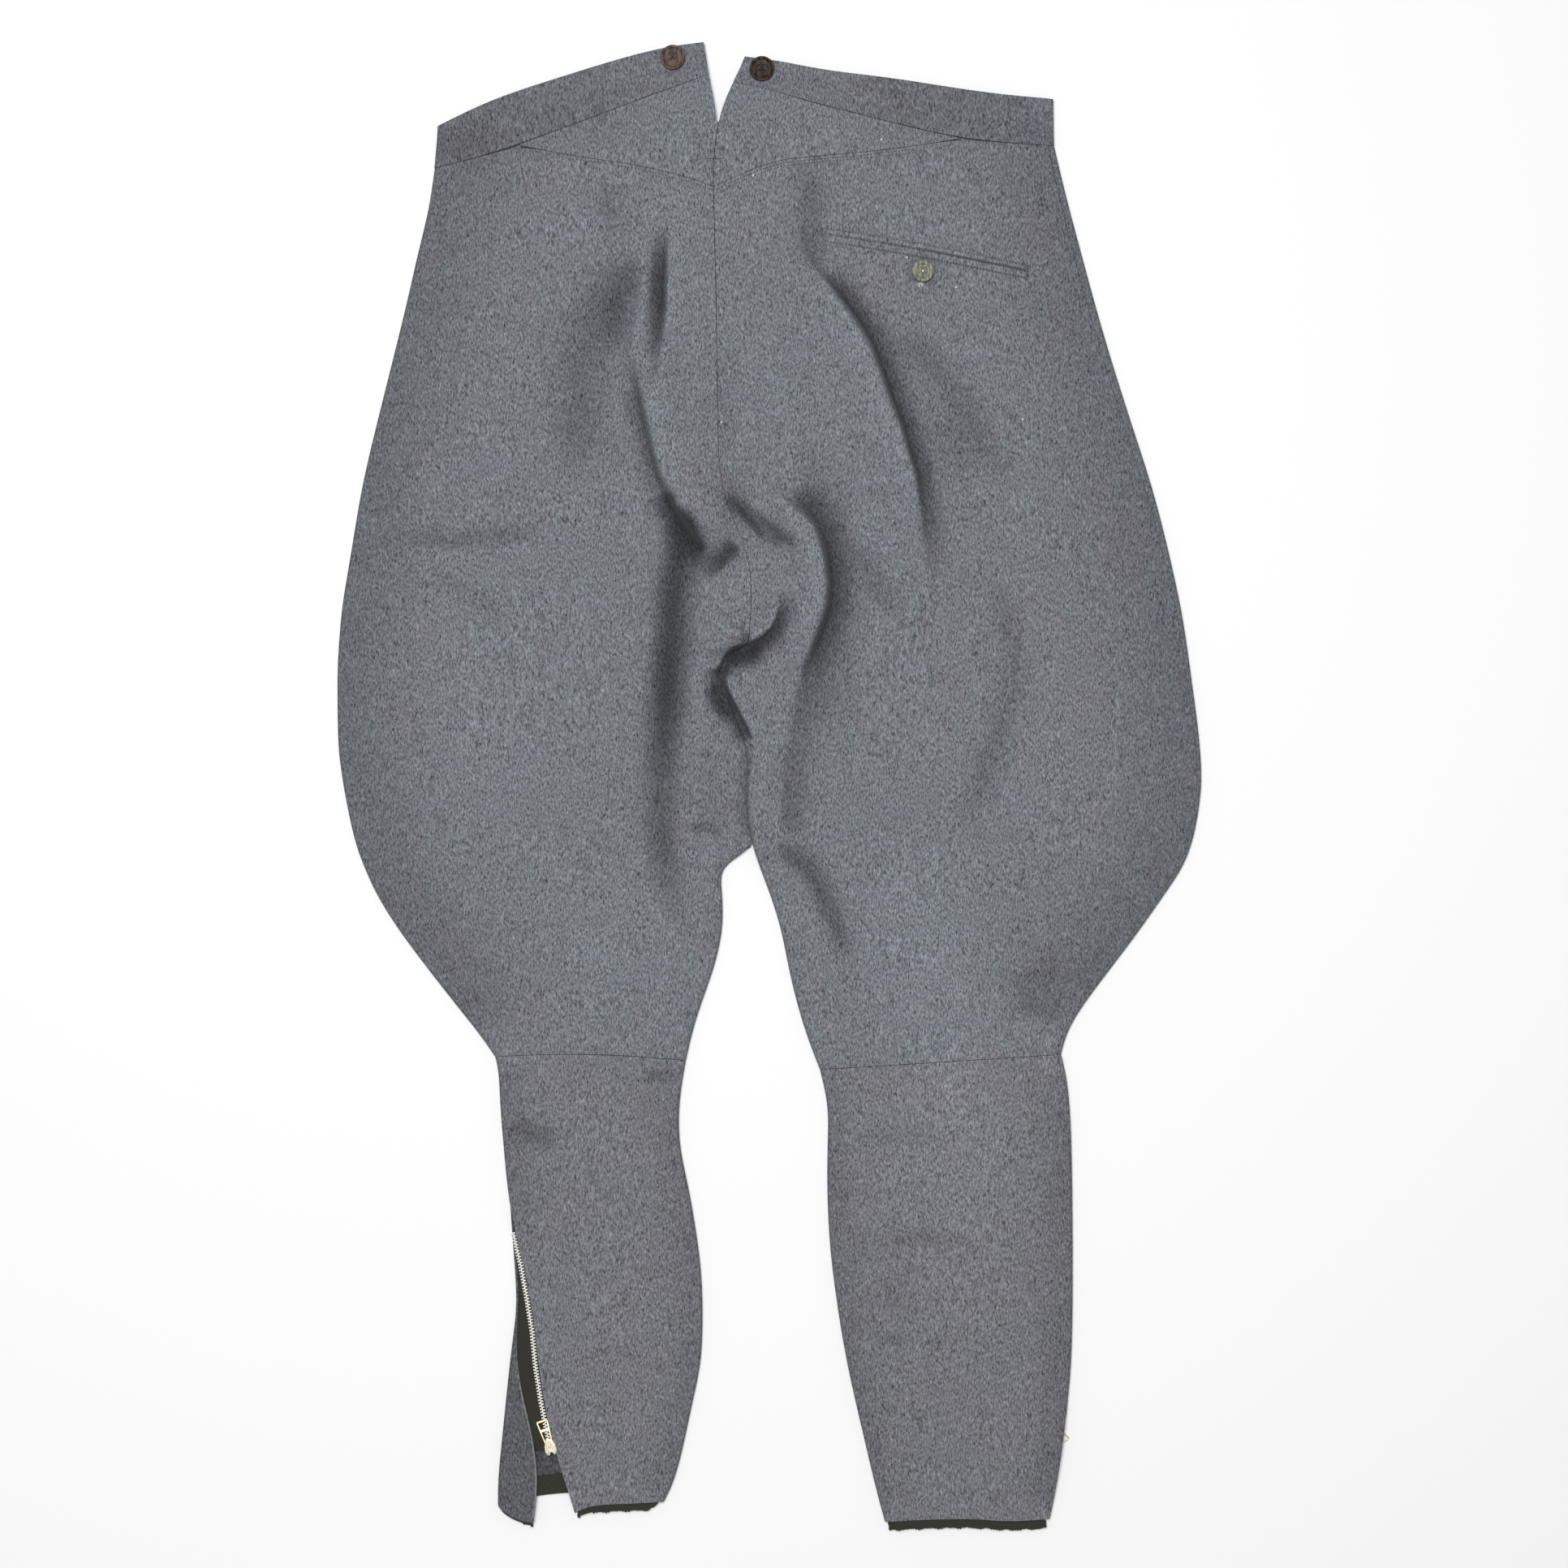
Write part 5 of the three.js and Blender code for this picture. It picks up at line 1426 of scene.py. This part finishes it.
@dataclass
class LegZip:
    """The separate teeth, the slider and the pull of one leg's zip, in millimetres."""

    side: str
    facing: Facing
    pitch: float = 1.05
    tooth: tuple[float, float, float] = (2.1, 0.95, 1.5)
    stagger: float = 0.7
    tooth_wear: tuple[float, float] = (0.2, 60.0)
    slider_wear: tuple[float, float] = (0.3, 35.0)
    pull_wear: tuple[float, float] = (0.22, 35.0)
    shading_angle: float = 50.0
    level_gap: float = 1.0  # the strip's corners come in levels that are further apart than this

    def build(self, metals: Sequence[bpy.types.Material]) -> list[bpy.types.Object]:
        """Makes the fixed parts and the pull, which swings.

        Args:
            metals: The materials of the teeth, the slider and the pull.

        Returns:
            The teeth, the slider and the pull.
        """
        teeth, slider, pull = metals
        return [
            self._teeth(teeth),
            self._worn("zip_slider_", slider, ROOT, self.slider_wear),
            self._worn("zip_pull_", pull, "pull_" + self.side, self.pull_wear),
        ]

    def _worn(
        self, part: str, finish: bpy.types.Material, body: str, wear: tuple[float, float]
    ) -> bpy.types.Object:
        """Copies a packed metal part and rubs its edges round.

        Args:
            part: The start of its node's name.
            finish: Its material.
            body: The body that it moves with.
            wear: The bevel's width, and the angle of a sharp edge.

        Returns:
            The part.
        """
        node = part + self.side
        piece = copy_of(node, "worn_" + node)
        round_edges(piece, *wear)
        soften(piece, self.shading_angle)
        dress(piece, finish, body)
        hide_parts(node)
        return piece

    def _teeth(self, finish: bpy.types.Material) -> bpy.types.Object:
        """Makes the closed chain: one tooth, set in turn from either side of the middle.

        Args:
            finish: The teeth's material.

        Returns:
            The chain.
        """
        places = []
        for k, (point, normal, heading) in enumerate(self._stations()):
            aside = self.stagger * MM * (1 if k % 2 else -1)
            places.append(seat_on(point, normal, heading) @ Matrix.Translation((aside, 0, 0)))
        chain = repeated("teeth_" + self.side, self._tooth(), places)
        soften(chain, self.shading_angle)
        dress(chain, finish)
        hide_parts("zip_teeth_" + self.side)
        return chain

    def _tooth(self) -> bpy.types.Mesh:
        """Makes one tooth.

        Returns:
            A small block with rounded edges.
        """
        deselect()
        bpy.ops.mesh.primitive_cube_add(size=MM)
        block = bpy.context.object
        block.data.transform(Matrix.Diagonal((*self.tooth, 1)))
        round_edges(block, *self.tooth_wear)
        mesh = block.data.copy()
        bpy.data.objects.remove(block)
        return mesh

    def _stations(self) -> list[tuple[Vector, Vector, Vector]]:
        """Finds where the teeth sit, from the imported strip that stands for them.

        Returns:
            The chain's middle, its face's direction and its heading at each tooth.
        """
        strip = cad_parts["zip_teeth_" + self.side].data
        points = np.unique(points_of(strip).round(6), axis=0)
        points = points[np.argsort(points[:, 1])]
        outside = Vector((-0.5, 0, 1)) * self.facing.value
        line = []
        ends = np.flatnonzero(np.diff(points[:, 1]) > self.level_gap * MM) + 1
        for level in np.split(points, ends):
            thin = np.linalg.svd((level - level.mean(0))[:, [0, 2]])[2][1]
            normal = Vector((thin[0], 0, thin[1]))
            line.append((Vector(level.mean(0)), normal if normal.dot(outside) > 0 else -normal))
        stations = []
        left = self.pitch / 2 * MM
        for (start, first), (end, last) in zip(line, line[1:]):
            leg = end - start
            while left <= leg.length:
                share = left / leg.length
                normal = first.lerp(last, share).normalized()
                stations.append((start.lerp(end, share), normal, leg.normalized()))
                left += self.pitch * MM
            left -= leg.length
        return stations


BUTTONS = (
    Button("brace_button_left", 17.0, 3.4, Slot.HORN),
    Button("brace_button_right", 17.0, 3.4, Slot.HORN),
    Button("pocket_button", 15.0, 3.0, Slot.POCKET_BUTTON, 2.4, 1.0, 1.35, 1.6, (1.3, 2.0)),
)
ZIPS = (LegZip("left", Facing.UP), LegZip("right", Facing.DOWN))


# ---------------------------------------------------------------------------------------------
# Studio
# ---------------------------------------------------------------------------------------------


@dataclass
class Studio:
    """The pale floor, the soft light and the camera straight above."""

    floor_side: float = 16.0
    view_width: float = 1.082
    aim: tuple[float, float] = (0.0098, 0.002)
    cloth_height: float = 0.008
    lens: float = 85.0
    sensor: float = 36.0
    sky: float = 0.26
    lamp_size: float = 1.3
    lamp_power: float = 92.0
    lamp_place: tuple[float, float, float] = (-0.25, 0.4, 3.2)

    def build(self) -> None:
        """Adds the floor, the light and the camera."""
        self._floor()
        self._light()
        self._camera()

    def _floor(self) -> None:
        """A wide even floor, just under the cloth."""
        deselect()
        bpy.ops.mesh.primitive_plane_add(size=self.floor_side, location=(0, 0, 0))
        floor = bpy.context.object
        floor.name = "floor"
        floor.data.materials.append(Paper().material())

    def _light(self) -> None:
        """An even sky, with a large lamp that comes a little from the waist's side."""
        world = bpy.data.worlds.new("sky")
        world.use_nodes = True
        background = world.node_tree.nodes["Background"]
        background.inputs["Color"].default_value = (1.0, 1.0, 1.0, 1.0)
        background.inputs["Strength"].default_value = self.sky
        bpy.context.scene.world = world
        lamp = bpy.data.lights.new("softbox", "AREA")
        lamp.shape = "SQUARE"
        lamp.size = self.lamp_size
        lamp.energy = self.lamp_power
        holder = bpy.data.objects.new("softbox", lamp)
        holder.location = self.lamp_place
        holder.rotation_euler = holder.location.to_track_quat("Z", "Y").to_euler()
        bpy.context.scene.collection.objects.link(holder)

    def _camera(self) -> None:
        """A camera that looks straight down with the waist at the top."""
        camera = bpy.data.cameras.new("camera")
        camera.lens = self.lens
        camera.sensor_width = self.sensor
        camera.sensor_fit = "HORIZONTAL"
        camera.dof.use_dof = False
        camera.clip_end = 50
        distance = self.view_width * self.lens / self.sensor
        holder = bpy.data.objects.new("camera", camera)
        holder.location = (*self.aim, self.cloth_height + distance)
        bpy.context.scene.collection.objects.link(holder)
        bpy.context.scene.camera = holder
        settings = bpy.context.scene.view_settings
        settings.view_transform = "Standard"
        settings.look = "None"
        settings.exposure = 0.0
        settings.gamma = 1.0


def main() -> None:
    """Builds the pieces in order and reports how many faces each has."""
    logging.basicConfig(level=logging.INFO, format="%(name)s: %(message)s")
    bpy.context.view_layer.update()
    Studio().build()
    cloths = {panel.finish for panel in PANELS}
    made = {cloth: cloth.material() for cloth in sorted(cloths, key=lambda cloth: cloth.name)}
    pieces = [panel.build(made[panel.finish]) for panel in PANELS]
    for panel in PANELS:
        panel.declare()
    ground = Ground(pieces)
    dark, pale = DARK_THREAD.material(), PALE_THREAD.material()
    pieces.append(Sewing().build(ground, SEAM_THREAD.material()))
    pieces += Lint().build(ground, pale)
    pieces.append(HemEdge().build(made[HEM_TAPE]))
    pieces.append(FlapEdge().build(ground, EDGE_WOOL.material()))
    for button, horn, thread in zip(BUTTONS, (BROWN_HORN, DARK_HORN, POCKET_HORN), (dark, dark, pale)):
        pieces += button.build(horn.material(), thread)
    metals = SILVER.material(), SLIDER_METAL.material(), BRASS.material()
    for leg_zip in ZIPS:
        pieces += leg_zip.build(metals)
    for piece in pieces:
        LOG.info("%s: %d faces", piece.name, len(piece.data.polygons))


if __name__ == "__main__":
    main()
